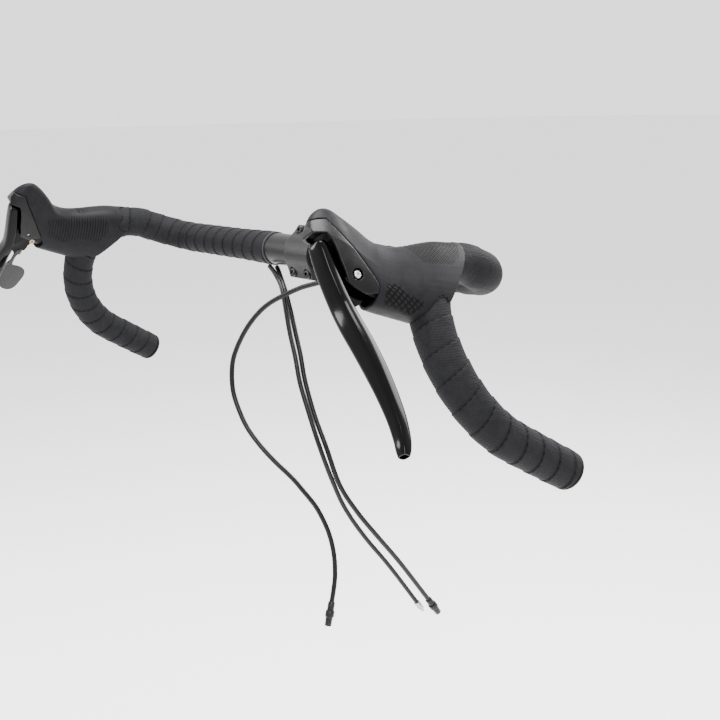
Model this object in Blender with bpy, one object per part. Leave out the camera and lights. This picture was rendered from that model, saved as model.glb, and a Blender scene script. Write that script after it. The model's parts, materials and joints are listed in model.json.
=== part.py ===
"""Flared drop handlebar with stem, tape, hydraulic brake levers, a shift paddle and its hoses.

Lengths below are millimetres and angles are degrees. They become metres when a mesh is made.
World axes: +X is the rider's left, -Y is forward and +Z is up, as the bar sits on the bicycle.
The origin is on the steerer's axis, at the bottom of the stem's steerer clamp.

Bar plane: each side of the bar lies in a plane that leans outward with the flare.
u runs forward along it, v runs down along it, and n points outward from it.
Lever frame: the same, turned inward by the lever's toe-in about its clamp on the bar.
"""
import math

import bmesh
import bpy
from mathutils import Matrix, Vector

MM = 0.001
GAP = 0.3

# Bar
BAR_WIDTH = 520.0
BEND_RADIUS = 44.0
HOOK_RADIUS = 52.0
HOOK_TURN = (1.5, 103.5)
DROP_RADIUS = 102.0
DROP_END_ANGLE = 169.0
DROP_TAIL = 60.0
FLARE = 28.5
BAR_ROLL = 21.2
CLAMP_RADIUS = 15.9
GRIP_RADIUS = 11.9
BAR_WALL = 1.9
CLAMP_ZONE = 70.0
TAPER_END = 120.0
BAR_SIDES = 10

# Tape
TAPE_START = 59.0
TAPE_RADIUS = 16.1
TAPE_CLAMP_RADIUS = 17.3
TAPE_BORE = 13.8
FINISH_LENGTH = 3.0

# Stem
HEAD_ANGLE = 70.3
STEM_ANGLE = -6.0
STEM_LENGTH = 60.0
STEERER_RADIUS = 14.3
STEERER_CLAMP_RADIUS = 18.5
STEERER_CLAMP_HEIGHT = 40.0
FACEPLATE_HALF_WIDTH = 19.0
FACEPLATE_RADIUS = 20.3
FACEPLATE_BOLT_RISE = 21.0
FACEPLATE_BOLT_SPREAD = 11.5
STEERER_BOLT_HEIGHTS = (10, 30)
STEERER_BOLT_REACH = 22.0

# Lever
CLAMP_ANGLE = 62.0
TOE_IN = 5.0
HOOD_WALL = 2.2
COVER_WALL = 2.0
CROWN_TAPER = 0.45
BODY_SKIN = 2.7
PIN = (169.5, 47.0)
PIN_RADIUS = 3.0
SLOT_HALF_WIDTH = 6.7
# Outlines are (u, v) in the lever frame. A lever section is its top u, v, its low u, v and its half width.
# A blade section is its centre u, v, n, its depth and its half width.
LEVER_SECTIONS = (
    (54, -10, 68, 60, 19.4), (68, -9, 84, 62, 19.4), (79, -6.5, 95, 63.5, 19.2), (92, -3.5, 106, 64, 18.6),
    (105, 1.4, 118, 64, 17.5), (120, 7.8, 130, 64, 16.3), (135, 12.6, 140, 64, 15.3),
    (147, 13.1, 149, 63.7, 14.9), (154, 11, 155, 63, 14.8), (161, 6, 160, 62.3, 14.7),
    (168, 1.5, 165, 61.5, 14.6), (176, -2.9, 172, 59.5, 14.3), (184, -5.5, 178, 56, 13.7),
    (191, -3.8, 185, 50, 12.6), (197, 1.6, 191.5, 40, 10.6), (201, 9, 197, 31, 8.4),
    (202.8, 15, 200.5, 24.5, 6.4),
)
SEAM = ((215, 9.6), (197.6, 8.7), (190.5, 7), (186.3, 13), (152.5, 49.6), (150.8, 52.6), (151.2, 57.3))
COVER_WINDOW = (
    (240, 20.5), (197, 20.5), (192, 20), (190, 22.5), (186, 31), (182.8, 39), (178, 48), (174.6, 55.5),
    (169, 59.3), (159, 58.8), (153.5, 57), (20, 57), (20, 100), (240, 100),
)
COVER_INNER_EDGE = ((140, 42), (157, 46.2), (163, 49.5), (166, 53.4), (176.3, 53.8), (190, 70), (140, 70))
HOOD_REAR = (
    (10, -60), (61, -60), (66, -14), (68, 6), (72, 18), (79, 33), (86, 48), (94, 63), (98, 90), (10, 90),
)
BODY_REAR = (
    (10, -60), (76, -60), (88, -14), (96, 30), (100, 50), (105, 67), (108, 90), (108, 120), (10, 120),
)
BODY_WINDOW = (
    (240, 17.5), (197, 17.5), (191, 17), (187.5, 20), (183.5, 28.5), (180.5, 36), (176, 45), (172.8, 52.5),
    (168.5, 57), (165, 60), (150, 60), (150, 100), (240, 100),
)
BODY_SLOT = (
    (250, 17), (192, 20), (172, 27), (157, 29), (148.5, 36), (147, 52), (151, 64), (147, 110), (250, 110),
)
BAND_BOLT_START = 17.0
BAND_BOLT_SEAT = 26.5
RESERVOIR = (178.5, 20)
HOSE_PORT = (120, 27)
SET_SCREW = (161.7, 54.6)
BLADE_SECTIONS = (
    (193.2, 24.0, 0, 7.6, 6.4), (192.6, 26.7, 0, 9.7, 7.6), (189.3, 36.2, 0, 10.7, 8.2),
    (185.6, 46.5, 0, 11.2, 8.4), (181.7, 58.8, 0.9, 10.4, 8.5), (178.0, 71.0, 2.9, 10.5, 8.6),
    (175.2, 86.2, 8.5, 11.8, 8.6), (171.0, 102.3, 14.1, 12.6, 8.4), (166.7, 120.4, 19.7, 12.6, 7.8),
    (162.9, 137.6, 24.2, 11.8, 7.0), (159.7, 155.1, 28.0, 10.8, 6.2), (158.2, 169.3, 30.1, 9.5, 5.6),
    (158.6, 177.6, 31.2, 8.2, 5.0), (159.2, 182.6, 31.7, 6.2, 4.0),
)
LEVER_ARM = (
    (189, 32), (188.5, 45), (182.5, 62), (171.5, 76), (169.5, 70), (165, 66.5), (160.5, 62),
    (158.5, 53), (159.5, 44), (164, 38.5), (174.5, 35), (184.5, 30.5),
)

# Shifter, right side only. Outlines are (u, v) in the lever frame.
PADDLE_AXIS = (164.5, -1.0)
PADDLE_PIN_RADIUS = 1.3
PADDLE_TOP = 70.6
PADDLE_LUG = ((161, 58), (171, 60), (169.6, 68.5), (167, 70.2), (161.8, 70.2), (160.6, 66))
PADDLE_OUTLINE = (
    (163.8, 72.5), (168.4, 72.5), (170.3, 80), (170.3, 85.5), (172.8, 90.5), (172.8, 100), (171.2, 112),
    (167, 120.2), (160, 122.4), (154, 120.6), (150.5, 116), (148.8, 109), (147.5, 101.5), (148.6, 95.8),
    (152, 92.5), (158, 91.2), (164.4, 91.2), (166.4, 88.4), (166.6, 81), (165.2, 76.5),
)
DRUM_CENTRE = (133.5, 44)
DRUM_TEETH = 14

# Hoses
HOSE_RADIUS = 2.5
HOUSING_RADIUS = 2.4
CORD_POINT_SPACING = 14.5
# Routes are x, y, z from the bar clamp's centre.
FRONT_HOSE_ROUTE = (
    (57, -12.5, -16.2), (47, -15, -19.5), (34, -19, -24), (20, -24, -28), (6, -30, -34), (-14, -42, -46),
    (-26, -52, -60), (-35, -61, -78), (-41, -68, -98), (-42, -71, -114), (-40, -72, -133),
    (-34, -71, -149), (-24, -68, -168), (-12, -61, -186), (0, -52, -202), (12, -41, -218),
    (20, -33, -232), (28, -25, -247), (35, -20, -263), (40, -17, -278), (46, -17, -297),
    (50, -20, -319), (52, -26, -340),
)
REAR_HOSE_ROUTE = (
    (-57, -2, -19), (-49, -6, -21), (-40, -10, -26), (-28, -14, -36), (-15, -17, -56),
    (-4, -20, -75), (8, -23, -97), (17, -25, -121), (31, -25, -153), (46, -23, -183),
    (54, -14, -221), (61, 1, -250), (66, 20, -277), (68, 50, -315), (68, 88, -366),
)
HOUSING_ROUTE = (
    (-57, -11, -17), (-48, -13.5, -20), (-38, -16, -25), (-24, -20, -35), (-11, -25, -56),
    (0, -29, -76), (12, -32, -98), (21, -34, -121), (34, -33, -152), (45, -30, -182),
    (49, -19, -217), (48, -3, -250), (49, 20, -285), (51, 50, -324), (52, 86, -374),
)

STEER_AXIS = Vector((0, math.cos(math.radians(HEAD_ANGLE)), math.sin(math.radians(HEAD_ANGLE))))
STEM_RISE = math.radians(90 - HEAD_ANGLE + STEM_ANGLE)
STEM_AXIS = Vector((0, -math.cos(STEM_RISE), math.sin(STEM_RISE)))
STEM_UP = Vector((0, math.sin(STEM_RISE), math.cos(STEM_RISE)))
SIDEWAYS = Vector((1, 0, 0))
BAR_CENTRE = STEER_AXIS * STEERER_CLAMP_HEIGHT / 2 + STEM_AXIS * STEM_LENGTH

ROLL = Matrix.Rotation(-math.radians(BAR_ROLL), 3, "X")
FORWARD = ROLL @ Vector((0, -1, 0))
DOWN = ROLL @ Vector((math.sin(math.radians(FLARE)), 0, -math.cos(math.radians(FLARE))))
OUTWARD = ROLL @ Vector((math.cos(math.radians(FLARE)), 0, math.sin(math.radians(FLARE))))
PLANE_TOP = BAR_CENTRE + SIDEWAYS * BAR_WIDTH / 2

SIDES = {"left": 1, "right": -1}


# ---------------------------------------------------------------- general helpers

def plane_point(u, v, n=0.0):
    """World place of a bar plane point on the left side."""
    return PLANE_TOP + FORWARD * u + DOWN * v + OUTWARD * n


def hook_point(angle):
    """Centre line of the hook in the bar plane, by the direction it points in."""
    turn = math.radians(angle)
    first = math.radians(HOOK_TURN[0])
    u = BEND_RADIUS + HOOK_RADIUS * (math.sin(turn) - math.sin(first))
    v = HOOK_RADIUS * (math.cos(first) - math.cos(turn))
    return u, v


CLAMP_POINT = Vector(hook_point(CLAMP_ANGLE))
CLAMP_NORMAL = Vector((math.sin(math.radians(CLAMP_ANGLE)), -math.cos(math.radians(CLAMP_ANGLE))))
CLAMP_ALONG = Vector((math.cos(math.radians(CLAMP_ANGLE)), math.sin(math.radians(CLAMP_ANGLE))))
TOE = math.radians(TOE_IN)
LEVER_FORWARD = FORWARD * math.cos(TOE) - OUTWARD * math.sin(TOE)
LEVER_OUTWARD = OUTWARD * math.cos(TOE) + FORWARD * math.sin(TOE)


def lever_point(u, v, n=0.0):
    """World place of a lever frame point on the left side."""
    start = plane_point(*CLAMP_POINT)
    return start + LEVER_FORWARD * (u - CLAMP_POINT.x) + DOWN * (v - CLAMP_POINT.y) + LEVER_OUTWARD * n


def material(name, colour, roughness, metallic=0.0):
    """A Principled BSDF material, made once for each name."""
    look = bpy.data.materials.get(name)
    if look is None:
        look = bpy.data.materials.new(name)
        look.use_nodes = True
        shader = look.node_tree.nodes["Principled BSDF"]
        shader.inputs["Base Color"].default_value = (*colour, 1.0)
        shader.inputs["Roughness"].default_value = roughness
        shader.inputs["Metallic"].default_value = metallic
    return look


def satin_black():
    return material("satin_black_alloy", (0.045, 0.046, 0.05), 0.42, 0.6)


def gloss_black():
    return material("gloss_black_blade", (0.02, 0.02, 0.023), 0.15, 0.3)


def hood_rubber():
    return material("hood_rubber", (0.09, 0.09, 0.095), 0.75)


def tape_foam():
    return material("bar_tape", (0.07, 0.07, 0.075), 0.8)


def dark_plastic():
    return material("dark_plastic", (0.06, 0.06, 0.065), 0.5)


def grey_plastic():
    return material("grey_plastic", (0.16, 0.16, 0.17), 0.5)


def steel():
    return material("steel", (0.6, 0.6, 0.62), 0.25, 1.0)


def black_steel():
    return material("black_steel", (0.04, 0.04, 0.045), 0.4, 0.8)


def hose_skin():
    return material("hose_skin", (0.035, 0.035, 0.04), 0.4)


def soft_rubber():
    return material("soft_rubber", (0.05, 0.05, 0.05), 0.8)


def solid(name, shape, look, side=1, origin=None):
    """Make an object from world points in millimetres. side -1 mirrors it to the right."""
    points, faces = shape
    flip = Vector((side, 1, 1))
    anchor = Vector((0, 0, 0)) if origin is None else Vector(origin) * flip
    mesh = bpy.data.meshes.new(name)
    mesh.from_pydata([(Vector(p) * flip - anchor) * MM for p in points], [], faces)
    bm = bmesh.new()
    bm.from_mesh(mesh)
    bmesh.ops.recalc_face_normals(bm, faces=bm.faces)
    bm.to_mesh(mesh)
    bm.free()
    mesh.shade_smooth()
    mesh.set_sharp_from_angle(angle=math.radians(35))
    thing = bpy.data.objects.new(name, mesh)
    thing.location = anchor * MM
    thing.data.materials.append(look)
    bpy.context.scene.collection.objects.link(thing)
    return thing


def boolean(target, name, shape, side=1, operation="DIFFERENCE"):
    """Cut a hidden guide shape from an object, or join it on."""
    guide = solid("guide_" + name, shape, satin_black(), side)
    guide.hide_render = True
    guide.display_type = "WIRE"
    change = target.modifiers.new(name, "BOOLEAN")
    change.operation = operation
    change.solver = "EXACT"
    change.object = guide


def loft(rings):
    """Closed skin through rings of equal length, with flat ends."""
    count = len(rings[0])
    points = [point for ring in rings for point in ring]
    faces = []
    for row in range(len(rings) - 1):
        for here in range(count):
            after = (here + 1) % count
            low = row * count
            high = low + count
            faces.append((low + here, low + after, high + after, high + here))
    last = (len(rings) - 1) * count
    faces.append(tuple(reversed(range(count))))
    faces.append(tuple(range(last, last + count)))
    return points, faces


def tangents(path):
    """Unit direction at each point of a path."""
    result = []
    for index in range(len(path)):
        before = path[max(index - 1, 0)]
        after = path[min(index + 1, len(path) - 1)]
        result.append((after - before).normalized())
    return result


def frames(path):
    """Two unit vectors square to the path at each point, carried along without twist."""
    directions = tangents(path)
    start = OUTWARD if abs(directions[0].dot(OUTWARD)) < 0.7 else Vector((0, 0, 1))
    across = (start - directions[0] * start.dot(directions[0])).normalized()
    result = []
    for direction in directions:
        across = (across - direction * across.dot(direction)).normalized()
        result.append((across, direction.cross(across)))
    return result


def circle_ring(centre, across, other, radius, sides):
    """Points of a circle."""
    turns = [2 * math.pi * step / sides for step in range(sides)]
    return [centre + (across * math.cos(turn) + other * math.sin(turn)) * radius for turn in turns]


def rod(path, radii, sides):
    """Solid round bar along a path, with a radius at each point."""
    rings = []
    for centre, (across, other), radius in zip(path, frames(path), radii):
        rings.append(circle_ring(centre, across, other, radius, sides))
    return loft(rings)


def around(radius, sides):
    """Corner radius of a many-sided hole whose flats stay outside the radius."""
    return radius / math.cos(math.pi / sides)


def pipe(path, outer, inner, sides):
    """Hollow round tube along a path, open at both ends. The hole's flats keep its radius."""
    outside, _ = rod(path, outer, sides)
    inside, _ = rod(path, [around(radius, sides) for radius in inner], sides)
    points = outside + inside
    shift = len(outside)
    faces = []
    for row in range(len(path) - 1):
        for here in range(sides):
            after = (here + 1) % sides
            low = row * sides
            high = low + sides
            faces.append((low + here, low + after, high + after, high + here))
            faces.append((shift + low + here, shift + high + here, shift + high + after, shift + low + after))
    for row in (0, len(path) - 1):
        for here in range(sides):
            low = row * sides + here
            after = row * sides + (here + 1) % sides
            faces.append((low, after, shift + after, shift + low))
    return points, faces


def cylinder(start, end, radius, sides=16):
    """Plain round bar between two points."""
    return rod([Vector(start), Vector(end)], (radius, radius), sides)


def stepped(start, direction, steps, sides=14):
    """Turned part: (distance, radius) pairs along a direction."""
    path = [start + direction * distance for distance, _ in steps]
    radii = [radius for _, radius in steps]
    across, other = frames([start, start + direction])[0]
    return loft([circle_ring(centre, across, other, radius, sides) for centre, radius in zip(path, radii)])


def prism(outline, low, high, place=lever_point):
    """Flat outline made thick across its plane."""
    return loft([[place(u, v, low) for u, v in outline], [place(u, v, high) for u, v in outline]])


def smooth_path(points, spacing):
    """Even points along a smooth open curve through the given points."""
    points = [Vector(point) for point in points]
    ends = [points[0] * 2 - points[1]] + points + [points[-1] * 2 - points[-2]]
    dense = []
    for a, b, c, d in zip(ends, ends[1:], ends[2:], ends[3:]):
        for step in range(12):
            t = step / 12
            value = b * 2 + (c - a) * t + (a * 2 - b * 5 + c * 4 - d) * t ** 2
            value += (b * 3 - a - c * 3 + d) * t ** 3
            dense.append(value * 0.5)
    dense.append(points[-1])
    length = sum((after - before).length for before, after in zip(dense, dense[1:]))
    return resample(dense, 0, length, max(2, round(length / spacing) + 1))


def resample(path, start, end, count):
    """Points at equal distances along a path, between two distances from its start."""
    wanted = [start + (end - start) * step / (count - 1) for step in range(count)]
    result = []
    travelled = 0.0
    index = 0
    for distance in wanted:
        while index < len(path) - 2 and travelled + (path[index + 1] - path[index]).length < distance:
            travelled += (path[index + 1] - path[index]).length
            index += 1
        step = path[index + 1] - path[index]
        result.append(path[index] + step * ((distance - travelled) / step.length))
    return result


def mirrored(path):
    return [Vector((-point.x, point.y, point.z)) for point in path]


# ---------------------------------------------------------------- bar

def bar_centre_line():
    """Dense points along the left half of the bar, from its middle to its end."""
    bend_start = BAR_WIDTH / 2 - BEND_RADIUS
    line = [BAR_CENTRE + SIDEWAYS * bend_start * step / 40 for step in range(40)]
    for step in range(30):
        turn = math.pi / 2 * step / 30
        x = bend_start + BEND_RADIUS * math.sin(turn)
        line.append(BAR_CENTRE + SIDEWAYS * x + FORWARD * BEND_RADIUS * (1 - math.cos(turn)))
    for step in range(50):
        angle = HOOK_TURN[0] + (HOOK_TURN[1] - HOOK_TURN[0]) * step / 50
        line.append(plane_point(*hook_point(angle)))
    first = math.radians(HOOK_TURN[1])
    last = math.radians(DROP_END_ANGLE)
    u, v = hook_point(HOOK_TURN[1])
    for step in range(51):
        turn = first + (last - first) * step / 50
        end_u = u + DROP_RADIUS * (math.sin(turn) - math.sin(first))
        end_v = v + DROP_RADIUS * (math.cos(first) - math.cos(turn))
        line.append(plane_point(end_u, end_v))
    line.append(plane_point(end_u + DROP_TAIL * math.cos(last), end_v + DROP_TAIL * math.sin(last)))
    return line


def line_length(line):
    return sum((after - before).length for before, after in zip(line, line[1:]))


BAR_LINE = bar_centre_line()
BAR_LENGTH = line_length(BAR_LINE)
BEND_START = BAR_WIDTH / 2 - BEND_RADIUS
HOOK_START = BEND_START + BEND_RADIUS * math.pi / 2
CLAMP_DISTANCE = HOOK_START + HOOK_RADIUS * math.radians(CLAMP_ANGLE - HOOK_TURN[0])


def bar_radius(distance):
    """Outer radius of the tube: thick at the stem, thin from the taper's end on."""
    share = (distance - CLAMP_ZONE) / (TAPER_END - CLAMP_ZONE)
    share = min(max(share, 0), 1)
    share = share * share * (3 - 2 * share)
    return CLAMP_RADIUS + (GRIP_RADIUS - CLAMP_RADIUS) * share


def stations(start):
    """Distances along one half where a ring is needed, closer together in the bends."""
    wanted = [start, CLAMP_ZONE, 86, 103, TAPER_END]
    wanted += [BEND_START + (HOOK_START - BEND_START) * step / 4 for step in range(4)]
    bends = BAR_LENGTH - DROP_TAIL - HOOK_START
    wanted += [HOOK_START + bends * step / 9 for step in range(10)]
    wanted = [distance for distance in wanted if abs(distance - CLAMP_DISTANCE) > 19]
    wanted += [CLAMP_DISTANCE + shift for shift in (-15.5, -12.5, -6, 0, 6, 12.5, 15.5)]
    return sorted(wanted) + [BAR_LENGTH]


def bar_points(distances):
    return [resample(BAR_LINE, distance, BAR_LENGTH, 2)[0] for distance in distances]


def make_bar():
    distances = stations(0)
    half = bar_points(distances)
    outer = [bar_radius(distance) for distance in distances]
    path = mirrored(reversed(half[1:])) + half
    radii = list(reversed(outer[1:])) + outer
    inner = [radius - BAR_WALL for radius in radii]
    solid("handlebar_tube", pipe(path, radii, inner, BAR_SIDES), satin_black())


def tape_radius(distance):
    """Outer radius of the tape, a little fatter over the thick middle of the bar."""
    share = min(max((distance - TAPE_START) / (TAPER_END - TAPE_START), 0), 1)
    return TAPE_CLAMP_RADIUS + (TAPE_RADIUS - TAPE_CLAMP_RADIUS) * share


def tape_bore(distance):
    """The tape's inside clears the bar, and the lever's band where it passes over it."""
    if abs(distance - CLAMP_DISTANCE) < 14:
        return TAPE_BORE
    return bar_radius(distance) + GAP


def make_tape(side_name, side):
    distances = stations(TAPE_START + FINISH_LENGTH + GAP)
    distances[-1] = BAR_LENGTH - GAP
    outer = [tape_radius(distance) for distance in distances]
    inner = [tape_bore(distance) for distance in distances]
    tube = pipe(bar_points(distances), outer, inner, BAR_SIDES)
    tape = solid("bar_tape_" + side_name, tube, tape_foam(), side)
    foot = foot_outline(0.7)
    boolean(tape, "foot_hole_" + side_name, prism(foot, -8.2, 8.2, plane_point), side)


def make_finishing_tape(side_name, side):
    distances = (TAPE_START, TAPE_START + 0.6, TAPE_START + FINISH_LENGTH - 0.6, TAPE_START + FINISH_LENGTH)
    outer = [CLAMP_RADIUS + extra for extra in (0.9, 1.2, 1.2, 0.9)]
    inner = [CLAMP_RADIUS + GAP] * 4
    ring = pipe(bar_points(distances), outer, inner, 20)
    solid("finishing_tape_" + side_name, ring, soft_rubber(), side)


def make_end_plug(side_name, side):
    """Push-in plug: a flange over the bar's and the tape's end, and a spigot inside."""
    end, before = bar_points((BAR_LENGTH, BAR_LENGTH - 1))
    outward = (end - before).normalized()
    spigot = GRIP_RADIUS - BAR_WALL - GAP
    steps = ((-18, spigot - 1), (-16, spigot), (GAP, spigot), (GAP, TAPE_RADIUS - 0.4))
    steps += ((1.6, TAPE_RADIUS - 0.3), (4.2, TAPE_RADIUS - 2.2), (5.6, TAPE_RADIUS - 6))
    solid("bar_end_plug_" + side_name, stepped(end, outward, steps), dark_plastic(), side)


# ---------------------------------------------------------------- stem

def stem_point(forward, up, x):
    """World place in the stem's side plane, measured from the bar clamp's centre."""
    return BAR_CENTRE + STEM_AXIS * forward + STEM_UP * up + SIDEWAYS * x


def arc(radius, start, end, count):
    """Points of an arc in a side plane."""
    turns = [math.radians(start + (end - start) * step / (count - 1)) for step in range(count)]
    return [(radius * math.cos(turn), radius * math.sin(turn)) for turn in turns]


def faceplate_outline():
    """Front half of the bar clamp, with a flange above and below for its bolts."""
    flange = FACEPLATE_BOLT_RISE + 5
    outer = arc(FACEPLATE_RADIUS, 48, -48, 11)
    inner = arc(CLAMP_RADIUS + GAP, -86, 86, 13)
    bottom = [(9, -flange + 4), (7, -flange), (1.2, -flange)]
    top = [(1.2, flange), (7, flange), (9, flange - 4)]
    return outer + bottom + inner + top


def make_faceplate():
    width = FACEPLATE_HALF_WIDTH
    plate = solid("stem_faceplate", prism(faceplate_outline(), -width, width, stem_point), satin_black())
    for name, x, up in faceplate_bolts():
        hole = cylinder(stem_point(-5, up, x), stem_point(16, up, x), 2.9, 16)
        boolean(plate, "face_hole_" + name, hole)
        recess = cylinder(stem_point(7.4, up, x), stem_point(25, up, x), 4.6, 16)
        boolean(plate, "face_recess_" + name, recess)


def faceplate_bolts():
    """Name and place of each faceplate bolt."""
    places = []
    for vertical, up in (("upper", FACEPLATE_BOLT_RISE), ("lower", -FACEPLATE_BOLT_RISE)):
        for side_name, side in SIDES.items():
            places.append((vertical + "_" + side_name, side * FACEPLATE_BOLT_SPREAD, up))
    return places


def make_faceplate_bolts():
    for name, x, up in faceplate_bolts():
        steps = ((-15, 2.2), (-14.5, 2.5), (7.4 + GAP, 2.5), (7.4 + GAP, 4.2), (11, 4.2), (11.6, 3.7))
        bolt = solid("faceplate_bolt_" + name, stepped(stem_point(0, up, x), STEM_AXIS, steps, 12), steel())
        socket = stepped(stem_point(0, up, x), STEM_AXIS, ((9, 2.0), (14, 2.0)), 6)
        boolean(bolt, "socket_" + name, socket)


def stem_back_outline():
    """Rear half of the bar clamp and the neck that runs back to the steerer."""
    flange = FACEPLATE_BOLT_RISE + 5
    inner = arc(CLAMP_RADIUS + GAP, 94, 266, 13)
    neck = STEM_LENGTH - STEERER_CLAMP_RADIUS + 5
    lower = [(-1.2, -flange), (-9, -flange), (-19, -19), (-neck, -18)]
    upper = [(-neck, 18), (-19, 19), (-9, flange), (-1.2, flange)]
    return inner + lower + upper


def steer_point(height, radius=0.0, direction=STEM_AXIS):
    return STEER_AXIS * height + direction * radius


def make_stem():
    width = FACEPLATE_HALF_WIDTH
    middle = stem_back_outline()
    body = solid("stem_body", prism(middle, -width, width, stem_point), satin_black())
    clamp = cylinder(steer_point(0), steer_point(STEERER_CLAMP_HEIGHT), STEERER_CLAMP_RADIUS, 24)
    boolean(body, "steerer_clamp", clamp, operation="UNION")
    ears = [steer_point(0.7, 12), steer_point(39.3, 12), steer_point(39.3, 27), steer_point(0.7, 27)]
    ears = [point - (point - STEER_AXIS * STEER_AXIS.dot(point)) * 2 for point in ears]
    ear_block = loft([[point + SIDEWAYS * x for point in ears] for x in (-9.5, 9.5)])
    boolean(body, "steerer_ears", ear_block, operation="UNION")
    bore = cylinder(steer_point(-5), steer_point(STEERER_CLAMP_HEIGHT + 5), around(STEERER_RADIUS, 20), 20)
    boolean(body, "steerer_bore", bore)
    slot_corners = [steer_point(height, -reach) for height, reach in ((-5, 8), (45, 8), (45, 35), (-5, 35))]
    slot = loft([[point + SIDEWAYS * x for point in slot_corners] for x in (-1.2, 1.2)])
    boolean(body, "steerer_slot", slot)
    for height in STEERER_BOLT_HEIGHTS:
        middle = steer_point(height, -STEERER_BOLT_REACH)
        hole = cylinder(middle - SIDEWAYS * 20, middle + SIDEWAYS * 20, 2.9, 14)
        boolean(body, "clamp_hole_%d" % height, hole)
        recess = cylinder(middle + SIDEWAYS * 6.4, middle + SIDEWAYS * 20, 4.6, 16)
        boolean(body, "clamp_recess_%d" % height, recess)
    for name, x, up in faceplate_bolts():
        hole = cylinder(stem_point(-20, up, x), stem_point(5, up, x), 2.9, 14)
        boolean(body, "back_hole_" + name, hole)


def make_steerer_bolts():
    for name, height in zip(("lower", "upper"), STEERER_BOLT_HEIGHTS):
        middle = steer_point(height, -STEERER_BOLT_REACH)
        steps = ((-9, 2.5), (6.4 + GAP, 2.5), (6.4 + GAP, 4.2), (10, 4.2), (10.6, 3.7))
        bolt = solid("steerer_bolt_" + name, stepped(middle, SIDEWAYS, steps, 12), steel())
        socket = stepped(middle, SIDEWAYS, ((8, 2.0), (13, 2.0)), 6)
        boolean(bolt, "steerer_socket_" + name, socket)


# ---------------------------------------------------------------- lever outline

def inward(points, side):
    """Unit directions that point into the outline from a run of its points."""
    result = []
    for index in range(len(points)):
        before = points[max(index - 1, 0)]
        after = points[min(index + 1, len(points) - 1)]
        step = (after - before).normalized()
        result.append(Vector((-step.y, step.x)) * side)
    return result


def lever_shape(skin):
    """The lever's whole outer shape, shrunk by a skin thickness."""
    tops = [Vector(section[0:2]) for section in LEVER_SECTIONS]
    lows = [Vector(section[2:4]) for section in LEVER_SECTIONS]
    rings = []
    inner = zip(tops, inward(tops, 1), lows, inward(lows, -1), LEVER_SECTIONS)
    for top, top_in, low, low_in, section in inner:
        top = top + top_in * skin
        low = low + low_in * skin
        crown = min(max((section[0] - 150) / 25, 0), 1) * CROWN_TAPER
        rings.append(section_ring(top, low, section[4] - skin, crown))
    return loft(rings)


def section_ring(top, low, width, crown):
    """Rounded oblong across the lever, narrower at the top by a share."""
    ring = []
    for step in range(16):
        turn = 2 * math.pi * step / 16
        across = math.copysign(abs(math.sin(turn)) ** 0.72, math.sin(turn))
        height = math.copysign(abs(math.cos(turn)) ** 0.8, math.cos(turn))
        u, v = (top + low) / 2 + (top - low) / 2 * height
        ring.append(lever_point(u, v, width * across * (1 - crown * max(height, 0))))
    return ring


def seam_line(shift):
    """The seam between hood and cover, moved down and forward by a shift."""
    points = [Vector(point) for point in SEAM]
    return [tuple(point + away * shift) for point, away in zip(points, inward(points, -1))]


def foot_outline(margin):
    """Side outline of the body's foot, which reaches through the tape to the bar."""
    half = 10 + margin
    corners = ((-half, 8), (half, 8), (half, 24), (-half, 24))
    return [tuple(CLAMP_POINT + CLAMP_ALONG * sideways + CLAMP_NORMAL * out) for sideways, out in corners]


def clamp_line_point(out):
    """Place on the clamp bolt's axis, by its distance from the bar's centre."""
    return plane_point(*(CLAMP_POINT + CLAMP_NORMAL * out))


def bar_sleeve(radius, before, after, sides=18):
    """A round sleeve around the bar near the lever, to cut clearances with."""
    count = max(3, round((before + after) / 9))
    path = resample(BAR_LINE, CLAMP_DISTANCE - before, CLAMP_DISTANCE + after, count)
    return rod(path, [around(radius, sides)] * count, sides)


# ---------------------------------------------------------------- lever pieces

def make_hood(side_name, side):
    hood = solid("hood_" + side_name, lever_shape(0), hood_rubber(), side)
    boolean(hood, "hood_inside_" + side_name, lever_shape(HOOD_WALL), side)
    front = seam_line(-0.25) + [(152.5, 64.5), (152.5, 100), (260, 100), (260, 9.4)]
    boolean(hood, "hood_front_" + side_name, prism(front, -40, 40), side)
    boolean(hood, "hood_rear_" + side_name, prism(HOOD_REAR, -40, 40), side)
    boolean(hood, "hood_bar_" + side_name, bar_sleeve(TAPE_RADIUS + 0.35, 90, 90), side)


def make_cover(side_name, side):
    cover = solid("front_cover_" + side_name, lever_shape(0.05), grey_plastic(), side)
    boolean(cover, "cover_inside_" + side_name, lever_shape(COVER_WALL), side)
    rear = seam_line(0.25) + [(20, 57.3), (20, -60), (215, -60)]
    boolean(cover, "cover_seam_" + side_name, prism(rear, -40, 40), side)
    boolean(cover, "cover_window_" + side_name, prism(COVER_WINDOW, -40, 40), side)
    boolean(cover, "cover_inner_edge_" + side_name, prism(COVER_INNER_EDGE, -40, -1), side)
    slot = ((250, 20.6), (191.5, 20.6), (150, 44), (150, 90), (250, 90))
    boolean(cover, "cover_slot_" + side_name, prism(slot, -8.9, 8.9), side)
    hole = cylinder(lever_point(*PIN, -30), lever_point(*PIN, 30), PIN_RADIUS + 1.2, 14)
    boolean(cover, "cover_pin_hole_" + side_name, hole, side)


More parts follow.
